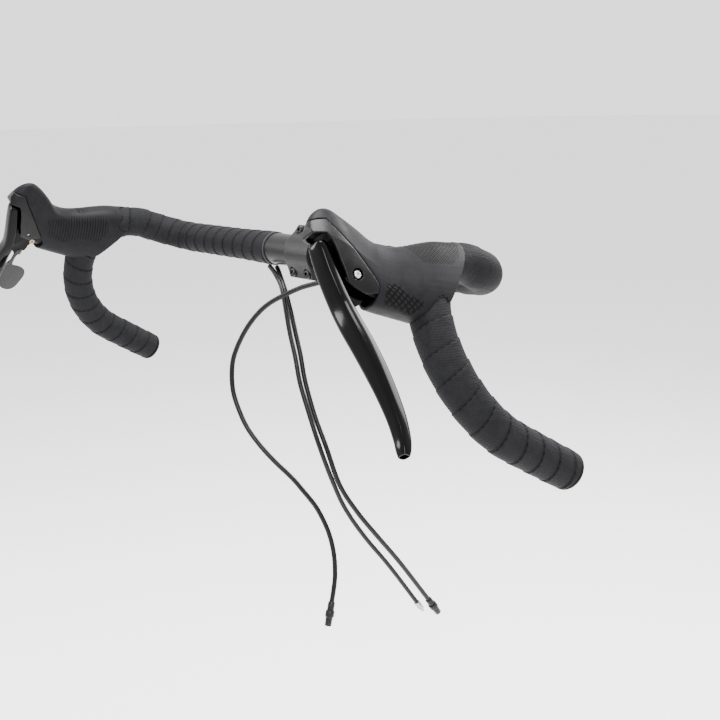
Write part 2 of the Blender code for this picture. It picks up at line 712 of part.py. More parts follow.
def make_body(side_name, side):
    """Bracket: it grips the bar, holds the cylinder and carries the pivot in two cheeks."""
    body = solid("lever_body_" + side_name, lever_shape(BODY_SKIN), dark_plastic(), side)
    boolean(body, "body_rear_" + side_name, prism(BODY_REAR, -40, 40), side)
    boolean(body, "body_bar_" + side_name, bar_sleeve(TAPE_RADIUS + 0.4, 90, 90), side)
    boolean(body, "body_slot_" + side_name, prism(BODY_SLOT, -SLOT_HALF_WIDTH, SLOT_HALF_WIDTH), side)
    boolean(body, "body_window_" + side_name, prism(BODY_WINDOW, -40, 40), side)
    foot = prism(foot_outline(0), -7.5, 7.5, plane_point)
    boolean(body, "body_foot_" + side_name, foot, side, "UNION")
    boolean(body, "body_saddle_" + side_name, bar_sleeve(GRIP_RADIUS + GAP, 30, 30), side)
    boolean(body, "body_band_groove_" + side_name, bar_sleeve(GRIP_RADIUS + 1.9, 6.5, 6.5), side)
    lug_room = cylinder(clamp_line_point(10), clamp_line_point(20), 4.6, 16)
    boolean(body, "body_lug_room_" + side_name, lug_room, side)
    bolt_room = cylinder(clamp_line_point(BAND_BOLT_START), clamp_line_point(70), 2.8, 13)
    boolean(body, "body_bolt_room_" + side_name, bolt_room, side)
    head_room = cylinder(clamp_line_point(BAND_BOLT_SEAT), clamp_line_point(70), 4.6, 17)
    boolean(body, "body_head_room_" + side_name, head_room, side)
    hole = cylinder(lever_point(*PIN, -30), lever_point(*PIN, 30), PIN_RADIUS + GAP, 14)
    boolean(body, "body_pin_hole_" + side_name, hole, side)
    start, direction = piston_line()
    bore = cylinder(start + direction * 4, start + direction * 27, 5.0, 14)
    boolean(body, "body_bore_" + side_name, bore, side)
    pocket = cylinder(lever_point(*RESERVOIR, -30), lever_point(*RESERVOIR, -4.6), 5.3, 15)
    boolean(body, "body_reservoir_" + side_name, pocket, side)
    screw_start, screw_direction = bleed_line()
    screw_room = cylinder(screw_start - screw_direction * 20, screw_start + screw_direction * 8, 2.3, 14)
    boolean(body, "body_bleed_room_" + side_name, screw_room, side)
    nut_room = cylinder(lever_point(*HOSE_PORT, -30), lever_point(*HOSE_PORT, -4), 4.4, 16)
    boolean(body, "body_hose_port_" + side_name, nut_room, side)
    set_screw_hole = cylinder(lever_point(*SET_SCREW, -20), lever_point(*SET_SCREW, 0), 1.9, 12)
    boolean(body, "body_set_screw_hole_" + side_name, set_screw_hole, side)
    recess = cylinder(lever_point(*SET_SCREW, -20), lever_point(*SET_SCREW, -9), 3.1, 14)
    boolean(body, "body_set_screw_recess_" + side_name, recess, side)
    if side_name == "right":
        cut_drum_room(body)


def piston_line():
    """Start and direction of the master cylinder's axis, from the pushrod upward."""
    start = lever_point(162.5, 36)
    return start, (lever_point(187, -8) - start).normalized()


def bleed_line():
    """Seat and inward direction of the bleed screw, behind the top of the horn."""
    start = lever_point(177, 0.6)
    return start, (lever_point(176, 14) - start).normalized()


def make_blade(side_name, side):
    """Brake lever: a curved blade and the arm that carries it on the pin."""
    pivot = lever_point(*PIN)
    blade = solid("brake_lever_" + side_name, loft(blade_rings()), gloss_black(), side, pivot)
    arm = prism(LEVER_ARM, -6, 3.9)
    boolean(blade, "arm_" + side_name, arm, side, "UNION")
    hole = cylinder(lever_point(*PIN, -12), lever_point(*PIN, 12), PIN_RADIUS + GAP, 14)
    boolean(blade, "arm_hole_" + side_name, hole, side)
    if side_name == "right":
        boolean(blade, "paddle_lug", prism(PADDLE_LUG, -5.2, 3.2), side, "UNION")
        boolean(blade, "paddle_lug_hole", paddle_axis_rod(58, 75, PADDLE_PIN_RADIUS + GAP), side)


def blade_rings():
    """Oval cross sections along the blade, square to it."""
    centres = [Vector(section[:3]) for section in BLADE_SECTIONS]
    rings = []
    for centre, along, section in zip(centres, tangents(centres), BLADE_SECTIONS):
        ahead = (Vector((1, 0, 0)) - along * along.x).normalized()
        aside = ahead.cross(along)
        ring = []
        for step in range(14):
            turn = 2 * math.pi * step / 14
            across = math.copysign(abs(math.sin(turn)) ** 0.75, math.sin(turn))
            depth = math.copysign(abs(math.cos(turn)) ** 0.85, math.cos(turn))
            ring.append(lever_point(*(centre + ahead * section[3] / 2 * depth + aside * section[4] * across)))
        rings.append(ring)
    return rings


def make_pin(side_name, side):
    steps = ((-11.6, PIN_RADIUS - 0.4), (-11.2, PIN_RADIUS), (12.2, PIN_RADIUS), (12.9, PIN_RADIUS - 0.6))
    pin = stepped(lever_point(*PIN), LEVER_OUTWARD, steps)
    solid("pivot_pin_" + side_name, pin, steel(), side, lever_point(*PIN))


def make_spring(side_name, side):
    """Torsion spring around the pin, between the arm and the outer cheek."""
    pivot = lever_point(*PIN)
    path = []
    for step in range(21):
        turn = 2 * math.pi * step / 8
        away = LEVER_FORWARD * math.cos(turn) + DOWN * math.sin(turn)
        path.append(pivot + away * 4.5 + LEVER_OUTWARD * (4.5 + 1.6 * step / 20))
    spring = rod(path, [0.3] * len(path), 4)
    solid("return_spring_" + side_name, spring, steel(), side, pivot)


def make_piston(side_name, side):
    start, direction = piston_line()
    steps = ((-1, 1.0), (-0.4, 1.7), (8.6, 1.7), (8.6, 4.6), (11, 4.6), (11, 3.8), (12.4, 3.8))
    steps += ((12.4, 4.6), (15, 4.6))
    solid("master_piston_" + side_name, stepped(start, direction, steps), steel(), side, start)


def make_piston_spring(side_name, side):
    """Small coil that pushes the piston back down."""
    start, direction = piston_line()
    across, other = frames([start, start + direction])[0]
    path = []
    for step in range(31):
        turn = 2 * math.pi * step / 8
        rise = 18 + 8.1 * step / 30
        path.append(start + direction * rise + (across * math.cos(turn) + other * math.sin(turn)) * 3.6)
    solid("piston_spring_" + side_name, rod(path, [0.4] * 31, 4), steel(), side)


def make_reservoir(side_name, side):
    middle = lever_point(*RESERVOIR)
    bladder = ((-7.2, 3.0), (-6.9, 4.2), (-5.3, 4.9), (-5.0, 4.9))
    bladder_shape = stepped(middle, LEVER_OUTWARD, bladder)
    solid("reservoir_diaphragm_" + side_name, bladder_shape, soft_rubber(), side)
    cap = ((-8.3, 4.7), (-8.1, 4.9), (-7.5, 4.9))
    solid("reservoir_cap_" + side_name, stepped(middle, LEVER_OUTWARD, cap), dark_plastic(), side)


def make_bleed_screw(side_name, side):
    start, direction = bleed_line()
    steps = ((0.3, 1.6), (0.6, 2.0), (5, 2.0), (5.6, 1.5))
    solid("bleed_screw_" + side_name, stepped(start, direction, steps, 14), steel(), side)


def make_band(side_name, side):
    """Steel band round the bar, with the threaded lug that its bolt pulls on."""
    path = resample(BAR_LINE, CLAMP_DISTANCE - 6, CLAMP_DISTANCE + 6, 3)
    outer = [GRIP_RADIUS + 1.6] * 3
    inner = [GRIP_RADIUS + GAP] * 3
    band = solid("clamp_band_" + side_name, pipe(path, outer, inner, 16), black_steel(), side)
    lug = cylinder(clamp_line_point(12.8), clamp_line_point(16.6), 4.2, 16)
    boolean(band, "lug_" + side_name, lug, side, "UNION")


def make_band_bolt(side_name, side):
    start = clamp_line_point(BAND_BOLT_START)
    direction = (clamp_line_point(40) - start).normalized()
    seat = BAND_BOLT_SEAT - BAND_BOLT_START + GAP
    steps = ((0, 2.2), (0.4, 2.5), (seat, 2.5), (seat, 4.2), (seat + 3.7, 4.2), (seat + 4.3, 3.7))
    bolt = solid("clamp_bolt_" + side_name, stepped(start, direction, steps, 12), steel(), side)
    socket = stepped(start, direction, ((seat + 1.7, 2.0), (seat + 6, 2.0)), 6)
    boolean(bolt, "clamp_bolt_socket_" + side_name, socket, side)


def make_hose_nut(side_name, side):
    steps = ((-12.3, 4.0), (-8, 4.0), (-8, 2.8), (-4.6, 2.8))
    nut = stepped(lever_point(*HOSE_PORT), LEVER_OUTWARD, steps, 12)
    solid("hose_nut_" + side_name, nut, black_steel(), side)


def make_set_screw(side_name, side):
    """Hexagon screw in the inner cheek that locks the pin."""
    steps = ((-11, 2.3), (-10.6, 2.8), (-9.3, 2.8), (-9.3, 1.6), (-6.9, 1.6))
    screw = stepped(lever_point(*SET_SCREW), LEVER_OUTWARD, steps, 12)
    thing = solid("set_screw_" + side_name, screw, bronze(), side)
    socket = stepped(lever_point(*SET_SCREW), LEVER_OUTWARD, ((-14, 1.3), (-9.9, 1.3)), 6)
    boolean(thing, "set_screw_socket_" + side_name, socket, side)


def bronze():
    return material("bronze", (0.5, 0.36, 0.22), 0.35, 1.0)


# ---------------------------------------------------------------- shifter, right side only


def paddle_axis_rod(start, end, radius, sides=14):
    """Round bar along the paddle's axis, which runs down the lever."""
    u, n = PADDLE_AXIS
    return cylinder(lever_point(u, start, n), lever_point(u, end, n), radius, sides)


def make_paddle():
    """Shift paddle: a plate behind the blade that swings inward about an upright pin."""
    u, n = PADDLE_AXIS
    top = lever_point(u, PADDLE_TOP, n)
    paddle = solid("shift_paddle", prism(PADDLE_OUTLINE, n - 3.2, n - 1.0), grey_plastic(), -1, top)
    boolean(paddle, "paddle_eye", paddle_axis_rod(PADDLE_TOP, PADDLE_TOP + 6.4, 2.8), -1, "UNION")
    boolean(paddle, "paddle_hole", paddle_axis_rod(60, 80, PADDLE_PIN_RADIUS + GAP, 12), -1)
    boolean(paddle, "paddle_head_room", paddle_axis_rod(PADDLE_TOP + 6.5, PADDLE_TOP + 9, 2.9, 13), -1)


def make_paddle_pin():
    u, n = PADDLE_AXIS
    steps = ((0, 1.0), (0.3, 1.2), (17.3, 1.2), (17.3, 2.4), (18.3, 2.4))
    pin = stepped(lever_point(u, 60, n), DOWN, steps, 12)
    solid("paddle_pin", pin, steel(), -1)


def make_drum():
    """Toothed cable drum that the paddle turns, and the axle it turns on."""
    centre = Vector(DRUM_CENTRE)
    outline = []
    for tooth in range(DRUM_TEETH):
        for share, radius in ((0.0, 8.6), (0.55, 7.2)):
            turn = 2 * math.pi * (tooth + share) / DRUM_TEETH
            outline.append(tuple(centre + Vector((math.cos(turn), math.sin(turn))) * radius))
    drum = solid("cable_drum", prism(outline, -5, 2), black_steel(), -1, lever_point(*DRUM_CENTRE))
    hole = cylinder(lever_point(*DRUM_CENTRE, -9), lever_point(*DRUM_CENTRE, 9), 2.3, 12)
    boolean(drum, "drum_hole", hole, -1)
    axle = stepped(lever_point(*DRUM_CENTRE), LEVER_OUTWARD, ((-7, 1.7), (-6.7, 2), (5, 2)), 12)
    solid("drum_axle", axle, steel(), -1)


def cut_drum_room(body):
    """Pocket in the right body for the drum, open on its inner side."""
    room = cylinder(lever_point(*DRUM_CENTRE, -30), lever_point(*DRUM_CENTRE, 2.6), 9.4, 22)
    boolean(body, "drum_room", room, -1)
    end = cylinder(lever_point(*DRUM_CENTRE, 1), lever_point(*DRUM_CENTRE, 6), 2.3, 13)
    boolean(body, "drum_axle_room", end, -1)


# ---------------------------------------------------------------- hoses

def from_bar(*offset):
    """World place from the bar clamp's centre."""
    return BAR_CENTRE + Vector(offset)


def make_cord(name, route, radius):
    """Plain round tube along a smooth curve through its route."""
    path = smooth_path([from_bar(*point) for point in route], CORD_POINT_SPACING)
    curve = bpy.data.curves.new(name, "CURVE")
    curve.dimensions = "3D"
    curve.bevel_depth = radius * MM
    curve.bevel_resolution = 2
    curve.use_fill_caps = True
    curve.render_resolution_u = 0
    curve.resolution_u = 1
    line = curve.splines.new("POLY")
    line.points.add(len(path) - 1)
    for point, place in zip(line.points, path):
        point.co = (*(place * MM), 1)
    cord = bpy.data.objects.new(name, curve)
    cord.data.materials.append(hose_skin())
    bpy.context.scene.collection.objects.link(cord)
    return path


def make_fitting(name, path, steps, look):
    """End fitting on the far end of a cord, in line with it."""
    direction = (path[-1] - path[-2]).normalized()
    solid(name, stepped(path[-1], direction, steps, 12), look)


def make_cords():
    hose_end = ((GAP, 3.0), (1.4, 3.5), (9, 3.5), (9, 4.5), (15, 4.5), (16, 3.6), (24, 3.4), (24.6, 2.8))
    ferrule = ((GAP, 2.9), (1, 3.1), (11, 3.1), (12, 2.6), (12, 1.6), (16, 1.4))
    path = make_cord("front_brake_hose", FRONT_HOSE_ROUTE, HOSE_RADIUS)
    make_fitting("front_hose_fitting", path, hose_end, black_steel())
    path = make_cord("rear_brake_hose", REAR_HOSE_ROUTE, HOSE_RADIUS)
    make_fitting("rear_hose_fitting", path, hose_end, black_steel())
    path = make_cord("shift_housing", HOUSING_ROUTE, HOUSING_RADIUS)
    make_fitting("housing_ferrule", path, ferrule, steel())


# ---------------------------------------------------------------- build

def clear_scene():
    for thing in list(bpy.data.objects):
        bpy.data.objects.remove(thing, do_unlink=True)


def make_lever(side_name, side):
    make_hood(side_name, side)
    make_cover(side_name, side)
    make_body(side_name, side)
    make_blade(side_name, side)
    make_pin(side_name, side)
    make_spring(side_name, side)
    make_piston(side_name, side)
    make_piston_spring(side_name, side)
    make_reservoir(side_name, side)
    make_bleed_screw(side_name, side)
    make_band(side_name, side)
    make_band_bolt(side_name, side)
    make_hose_nut(side_name, side)
    make_set_screw(side_name, side)


def main():
    clear_scene()
    make_bar()
    make_faceplate()
    make_faceplate_bolts()
    make_stem()
    make_steerer_bolts()
    for side_name, side in SIDES.items():
        make_tape(side_name, side)
        make_finishing_tape(side_name, side)
        make_end_plug(side_name, side)
        make_lever(side_name, side)
    make_paddle()
    make_paddle_pin()
    make_drum()
    make_cords()


main()
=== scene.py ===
import json
import math

import bmesh
import bpy
from mathutils import Matrix, Vector, noise


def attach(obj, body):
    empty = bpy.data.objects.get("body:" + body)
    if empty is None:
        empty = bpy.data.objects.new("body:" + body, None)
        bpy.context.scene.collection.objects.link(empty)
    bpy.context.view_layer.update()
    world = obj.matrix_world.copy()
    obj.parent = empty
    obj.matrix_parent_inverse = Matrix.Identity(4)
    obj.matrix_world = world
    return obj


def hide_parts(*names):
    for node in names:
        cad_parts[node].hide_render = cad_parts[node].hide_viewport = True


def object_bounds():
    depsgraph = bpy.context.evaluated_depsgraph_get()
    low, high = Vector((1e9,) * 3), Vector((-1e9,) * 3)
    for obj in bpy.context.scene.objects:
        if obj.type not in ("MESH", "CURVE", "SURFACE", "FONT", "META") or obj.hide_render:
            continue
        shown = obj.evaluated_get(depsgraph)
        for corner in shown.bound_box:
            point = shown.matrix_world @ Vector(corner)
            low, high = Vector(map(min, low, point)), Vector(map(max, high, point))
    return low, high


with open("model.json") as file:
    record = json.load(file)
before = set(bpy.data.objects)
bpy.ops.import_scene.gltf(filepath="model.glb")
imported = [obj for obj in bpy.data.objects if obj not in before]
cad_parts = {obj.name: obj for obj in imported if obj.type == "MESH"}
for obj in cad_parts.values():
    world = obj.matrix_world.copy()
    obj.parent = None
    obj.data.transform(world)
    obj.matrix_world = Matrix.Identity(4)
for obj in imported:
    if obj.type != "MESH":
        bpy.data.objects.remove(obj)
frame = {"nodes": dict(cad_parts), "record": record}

CAD_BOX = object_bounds()
MM = 0.001
GAP = 0.3
SIDES = {"left": 1, "right": -1}

# Bar and lever frames, the same as in the CAD, in millimetres and degrees.
BAR_WIDTH = 520.0
BEND_RADIUS = 44.0
HOOK_RADIUS = 52.0
HOOK_TURN = (1.5, 103.5)
DROP_RADIUS = 102.0
DROP_END_ANGLE = 169.0
DROP_TAIL = 60.0
FLARE = math.radians(28.5)
CLAMP_RADIUS = 15.9
GRIP_RADIUS = 11.9
BAR_WALL = 1.9
CLAMP_ZONE = 70.0
TAPER_END = 120.0
TAPE_START = 59.0
TAPE_RADIUS = 16.1
TAPE_CLAMP_RADIUS = 17.3
TAPE_BORE = 13.8
FINISH_LENGTH = 3.0
HEAD_ANGLE = math.radians(70.3)
STEM_RISE = math.radians(13.7)
CLAMP_ANGLE = 62.0
TOE = math.radians(5.0)
HOOD_WALL = 2.2
COVER_WALL = 2.0
CROWN_TAPER = 0.45
PIN = (169.5, 47.0)
PIN_RADIUS = 3.0
SET_SCREW = (161.7, 54.6)
PADDLE_AXIS = (164.5, -1.0)
PADDLE_TOP = 70.6
HOSE_RADIUS = 2.5
HOUSING_RADIUS = 2.4

SIDEWAYS = Vector((1, 0, 0))
STEER_AXIS = Vector((0, math.cos(HEAD_ANGLE), math.sin(HEAD_ANGLE)))
STEM_AXIS = Vector((0, -math.cos(STEM_RISE), math.sin(STEM_RISE)))
STEM_UP = Vector((0, math.sin(STEM_RISE), math.cos(STEM_RISE)))
BAR_CENTRE = STEER_AXIS * 20 + STEM_AXIS * 60
ROLL = Matrix.Rotation(-math.radians(21.2), 3, "X")
FORWARD = ROLL @ Vector((0, -1, 0))
DOWN = ROLL @ Vector((math.sin(FLARE), 0, -math.cos(FLARE)))
OUTWARD = ROLL @ Vector((math.cos(FLARE), 0, math.sin(FLARE)))
PLANE_TOP = BAR_CENTRE + SIDEWAYS * BAR_WIDTH / 2


def plane_point(u, v, n=0.0):
    return PLANE_TOP + FORWARD * u + DOWN * v + OUTWARD * n


def hook_point(angle):
    turn = math.radians(angle)
    first = math.radians(HOOK_TURN[0])
    u = BEND_RADIUS + HOOK_RADIUS * (math.sin(turn) - math.sin(first))
    return u, HOOK_RADIUS * (math.cos(first) - math.cos(turn))


CLAMP_POINT = Vector(hook_point(CLAMP_ANGLE))
LEVER_START = plane_point(*CLAMP_POINT)
LEVER_FORWARD = FORWARD * math.cos(TOE) - OUTWARD * math.sin(TOE)
LEVER_OUTWARD = OUTWARD * math.cos(TOE) + FORWARD * math.sin(TOE)


def lever_point(u, v, n=0.0):
    across = LEVER_FORWARD * (u - CLAMP_POINT.x) + DOWN * (v - CLAMP_POINT.y)
    return LEVER_START + across + LEVER_OUTWARD * n


def lever_place(point, side):
    """Lever frame coordinates, in millimetres, of a world point in metres."""
    away = Vector((point.x * side, point.y, point.z)) / MM - LEVER_START
    u = away.dot(LEVER_FORWARD) + CLAMP_POINT.x
    return u, away.dot(DOWN) + CLAMP_POINT.y, away.dot(LEVER_OUTWARD)


# ---------------------------------------------------------------- camera, floor and light

CAMERA_PLACE = (0.8872, -0.70565, 0.16734)
CAMERA_YAW, CAMERA_PITCH, CAMERA_ROLL = (math.radians(turn) for turn in (-51.25, -12.4, -1.18))
CAMERA_LENS = 56.5
FLOOR_DROP = 0.35
FLOOR_REACH = 90.0
WORLD_STRENGTH = 1.9

# Name, place and aim in metres, width and height in metres, watts.
LAMPS = (
    ("overhead", (0.1, -0.1, 1.5), (0, -0.1, 0), (1.2, 1.2), 110),
    ("front_left", (1.5, -1.1, 0.9), (0.1, -0.1, 0), (0.4, 1.2), 42),
    ("front_right", (-1.2, -1.3, 0.7), (0, -0.1, 0), (0.3, 1.2), 26),
    ("rear", (0.3, 1.5, 0.9), (0, 0, 0), (1.4, 0.6), 44),
)


def make_camera():
    """The camera, from its yaw, pitch and roll."""
    level = math.cos(CAMERA_PITCH)
    ahead = Vector((math.sin(CAMERA_YAW) * level, math.cos(CAMERA_YAW) * level, math.sin(CAMERA_PITCH)))
    right = ahead.cross(Vector((0, 0, 1))).normalized()
    up = right.cross(ahead)
    across = right * math.cos(CAMERA_ROLL) + up * math.sin(CAMERA_ROLL)
    above = up * math.cos(CAMERA_ROLL) - right * math.sin(CAMERA_ROLL)
    turn = Matrix((across, above, -ahead)).transposed().to_4x4()
    data = bpy.data.cameras.new("camera")
    data.lens = CAMERA_LENS
    data.sensor_width = 36
    data.clip_start = 0.01
    data.dof.use_dof = False
    camera = bpy.data.objects.new("camera", data)
    bpy.context.scene.collection.objects.link(camera)
    camera.matrix_world = Matrix.Translation(CAMERA_PLACE) @ turn
    bpy.context.scene.camera = camera


def area_light(name, place, aim, size, watts):
    """A rectangular lamp that points at aim."""
    data = bpy.data.lights.new(name, "AREA")
    data.shape = "RECTANGLE"
    data.size, data.size_y = size
    data.energy = watts
    lamp = bpy.data.objects.new(name, data)
    bpy.context.scene.collection.objects.link(lamp)
    lamp.location = place
    lamp.rotation_euler = (Vector(aim) - Vector(place)).to_track_quat("-Z", "Y").to_euler()


def make_studio():
    """White surroundings, four lamps and a pale floor."""
    world = bpy.data.worlds.new("studio")
    bpy.context.scene.world = world
    world.use_nodes = True
    background = world.node_tree.nodes["Background"]
    background.inputs["Color"].default_value = (1.0, 1.0, 1.0, 1.0)
    background.inputs["Strength"].default_value = WORLD_STRENGTH
    for lamp in LAMPS:
        area_light(*lamp)
    height = CAD_BOX[0].z - FLOOR_DROP
    mesh = bpy.data.meshes.new("floor")
    corners = [
        (-FLOOR_REACH, -FLOOR_REACH, height), (FLOOR_REACH, -FLOOR_REACH, height),
        (FLOOR_REACH, FLOOR_REACH, height), (-FLOOR_REACH, FLOOR_REACH, height),
    ]
    mesh.from_pydata(corners, [], [(0, 1, 2, 3)])
    floor = bpy.data.objects.new("floor", mesh)
    bpy.context.scene.collection.objects.link(floor)
    look = bpy.data.materials.new("pale_floor")
    look.use_nodes = True
    shader = look.node_tree.nodes["Principled BSDF"]
    shader.inputs["Base Color"].default_value = (0.9, 0.9, 0.9, 1)
    shader.inputs["Roughness"].default_value = 0.9
    mesh.materials.append(look)


# ---------------------------------------------------------------- materials

def surface(name, dark, light, rough, metallic=0.0, mottle=60.0, coat=0.0, coat_rough=0.1,
            bumps=(), groove_shade=0.0, specular=0.5):
    """Principled material: mottled colour and roughness, bump layers, and painted shade: a darker colour
    where the groove attribute marks creases.

    bumps holds (kind, scale per metre, height in metres) for each layer.
    """
    look = bpy.data.materials.new(name)
    look.use_nodes = True
    tree = look.node_tree
    shader = tree.nodes["Principled BSDF"]
    shader.inputs["Metallic"].default_value = metallic
    shader.inputs["Coat Weight"].default_value = coat
    shader.inputs["Coat Roughness"].default_value = coat_rough
    shader.inputs["Specular IOR Level"].default_value = specular
    place = tree.nodes.new("ShaderNodeTexCoord").outputs["Object"]
    spots = tree.nodes.new("ShaderNodeTexNoise")
    spots.inputs["Scale"].default_value = mottle
    spots.inputs["Detail"].default_value = 6
    spots.inputs["Roughness"].default_value = 0.62
    tree.links.new(place, spots.inputs["Vector"])
    ramp = tree.nodes.new("ShaderNodeValToRGB")
    ramp.color_ramp.elements[0].position = 0.3
    ramp.color_ramp.elements[1].position = 0.7
    ramp.color_ramp.elements[0].color = (*dark, 1)
    ramp.color_ramp.elements[1].color = (*light, 1)
    tree.links.new(spots.outputs["Fac"], ramp.inputs["Fac"])
    colour = ramp.outputs["Color"]
    if groove_shade:
        shade_mask = tree.nodes.new("ShaderNodeAttribute")
        shade_mask.attribute_name = "groove_shade"
        shade = tree.nodes.new("ShaderNodeMix")
        shade.data_type = "RGBA"
        strength = tree.nodes.new("ShaderNodeMath")
        strength.operation = "MULTIPLY"
        strength.inputs[1].default_value = groove_shade
        tree.links.new(shade_mask.outputs["Fac"], strength.inputs[0])
        tree.links.new(strength.outputs[0], shade.inputs["Factor"])
        tree.links.new(colour, shade.inputs["A"])
        # painted shade: near-black colour mixed in where the groove attribute marks a crease
        shade.inputs["B"].default_value = (0.001, 0.001, 0.001, 1)
        colour = shade.outputs["Result"]
    tree.links.new(colour, shader.inputs["Base Color"])
    spread = tree.nodes.new("ShaderNodeMapRange")
    spread.inputs["From Min"].default_value = 0.3
    spread.inputs["From Max"].default_value = 0.7
    spread.inputs["To Min"].default_value = rough[0]
    spread.inputs["To Max"].default_value = rough[1]
    tree.links.new(spots.outputs["Fac"], spread.inputs["Value"])
    tree.links.new(spread.outputs["Result"], shader.inputs["Roughness"])
    normal = None
    for kind, scale, height in bumps:
        if kind == "dimple":
            pattern = tree.nodes.new("ShaderNodeTexVoronoi")
            pattern.feature = "SMOOTH_F1"
            pattern.inputs["Smoothness"].default_value = 0.25
            pattern.inputs["Randomness"].default_value = 0.2
            value = pattern.outputs["Distance"]
        else:
            pattern = tree.nodes.new("ShaderNodeTexNoise")
            pattern.inputs["Detail"].default_value = 3
            value = pattern.outputs["Fac"]
        pattern.inputs["Scale"].default_value = scale
        tree.links.new(place, pattern.inputs["Vector"])
        bump = tree.nodes.new("ShaderNodeBump")
        bump.inputs["Distance"].default_value = height
        bump.inputs["Strength"].default_value = 1.0
        tree.links.new(value, bump.inputs["Height"])
        if normal:
            tree.links.new(normal, bump.inputs["Normal"])
        normal = bump.outputs["Normal"]
    if normal:
        tree.links.new(normal, shader.inputs["Normal"])
    return look


def grey(level, blue=1.04):
    """A grey with a slightly different blue."""
    return (level, level, level * blue)


LOOKS = {
    "bar_alloy": surface("bar_alloy_look", grey(0.004), grey(0.007), (0.32, 0.42), 0.2, 90,
                         bumps=(("noise", 2500, 0.00002),), specular=0.2),
    "stem_alloy": surface("stem_alloy_look", grey(0.004), grey(0.006), (0.34, 0.44), 0.0, 70,
                          bumps=(("noise", 1800, 0.00003),), specular=0.22),
    "bolt_steel": surface("bolt_steel_look", grey(0.012), grey(0.025), (0.3, 0.45), 0.9, 400,
                          bumps=(("noise", 3000, 0.00002),)),
    "bright_steel": surface("bright_steel_look", grey(0.3), grey(0.42), (0.2, 0.32), 1.0, 500,
                            bumps=(("noise", 3500, 0.00001),)),
    "bronze": surface("bronze_look", (0.22, 0.15, 0.1), (0.32, 0.23, 0.16), (0.3, 0.42), 1.0, 400,
                      bumps=(("noise", 3000, 0.00001),)),
    # the tape and the hood rubber get painted shade in their grooves (groove=1.0)
    "tape": surface("tape_look", grey(0.008, 1.1), grey(0.012, 1.1), (0.5, 0.64), 0, 160, groove_shade=1.0,
                    bumps=(("dimple", 560, 0.0004), ("noise", 3500, 0.00003)), specular=0.03),
    "finishing_rubber": surface("finishing_rubber_look", grey(0.008), grey(0.014), (0.5, 0.64), 0, 200,
                                bumps=(("noise", 2500, 0.00004),), specular=0.2),
    "hood_rubber": surface("hood_rubber_look", grey(0.006, 1.1), grey(0.009, 1.1), (0.36, 0.5), 0, 110,
                           groove_shade=1.0, bumps=(("noise", 2800, 0.00004), ("noise", 900, 0.00004)),
                           specular=0.05),
    "grey_plastic": surface("grey_plastic_look", grey(0.002), grey(0.0035), (0.3, 0.4), 0, 120,
                            bumps=(("noise", 2600, 0.00002),), specular=0.15),
    "black_plastic": surface("black_plastic_look", grey(0.0015), grey(0.0025), (0.42, 0.55), 0, 150,
                             bumps=(("noise", 2400, 0.00004),), specular=0.1),
    "paddle_plastic": surface("paddle_look", grey(0.005), grey(0.008), (0.24, 0.34), 0, 150,
                              bumps=(("noise", 2400, 0.00002),), specular=0.3),
    "blade_gloss": surface("blade_gloss_look", grey(0.0003), grey(0.0006), (0.1, 0.15), 0, 60,
                           bumps=(("noise", 500, 0.000004),), specular=0.1),
    "hose": surface("hose_look", grey(0.0015), grey(0.003), (0.24, 0.34), 0, 200,
                    bumps=(("noise", 2000, 0.00002),), specular=0.2),
}


# ---------------------------------------------------------------- mesh helpers

def mesh_object(name, shape, side=1):
    """An object from world points in millimetres. side -1 mirrors it to the right."""
    points, faces = shape
    mesh = bpy.data.meshes.new(name)
    mesh.from_pydata([(p[0] * side * MM, p[1] * MM, p[2] * MM) for p in points], [], faces)
    bm = bmesh.new()
    bm.from_mesh(mesh)
    bmesh.ops.recalc_face_normals(bm, faces=bm.faces)
    bm.to_mesh(mesh)
    bm.free()
    thing = bpy.data.objects.new(name, mesh)
    bpy.context.scene.collection.objects.link(thing)
    return thing


def settle(thing):
    """Turn an object's modifiers into its mesh."""
    graph = bpy.context.evaluated_depsgraph_get()
    mesh = bpy.data.meshes.new_from_object(thing.evaluated_get(graph))
    thing.modifiers.clear()
    thing.data = mesh


def carved(name, shape, cuts, side=1):
    """An object cut by, or joined with, a list of (shape, operation)."""
    thing = mesh_object(name, shape, side)
    guides = []
    for guide_shape, operation in cuts:
        guide = mesh_object("guide", guide_shape, side)
        change = thing.modifiers.new("carve", "BOOLEAN")
        change.operation = operation
        change.solver = "EXACT"
        change.object = guide
        guides.append(guide)
    settle(thing)
    for guide in guides:
        bpy.data.objects.remove(guide, do_unlink=True)
    return thing


def soften(thing, voxel, rounds):
    """Even out a mesh and round its edges."""
    remesh = thing.modifiers.new("even", "REMESH")
    remesh.mode = "VOXEL"
    remesh.voxel_size = voxel * MM
    smooth = thing.modifiers.new("round", "SMOOTH")
    smooth.factor = 0.5
    smooth.iterations = rounds
    settle(thing)


def bevel(thing, width, segments, angle):
    """Round the edges sharper than an angle in degrees. The width is in millimetres."""
    change = thing.modifiers.new("bevel", "BEVEL")
    change.width = width * MM
    change.segments = segments
    change.limit_method = "ANGLE"
    change.angle_limit = math.radians(angle)
    settle(thing)


def dress(thing, slot_name, body, *nodes, sharp=None):
    """Give a piece its material and body, and hide the CAD nodes that it stands for."""
    thing.data.materials.clear()
    thing.data.materials.append(LOOKS[slot_name])
    if thing.type == "MESH":
        thing.data.shade_smooth()
        if sharp:
            thing.data.set_sharp_from_angle(angle=math.radians(sharp))
    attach(thing, body)
    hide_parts(*nodes)


def copy_of(node, name):
    """A new object with a CAD node's shape, its corners joined."""
    thing = bpy.data.objects.new(name, frame["nodes"][node].data.copy())
    bpy.context.scene.collection.objects.link(thing)
    bm = bmesh.new()
    bm.from_mesh(thing.data)
    bmesh.ops.remove_doubles(bm, verts=bm.verts, dist=1e-6)
    bm.to_mesh(thing.data)
    bm.free()
    return thing


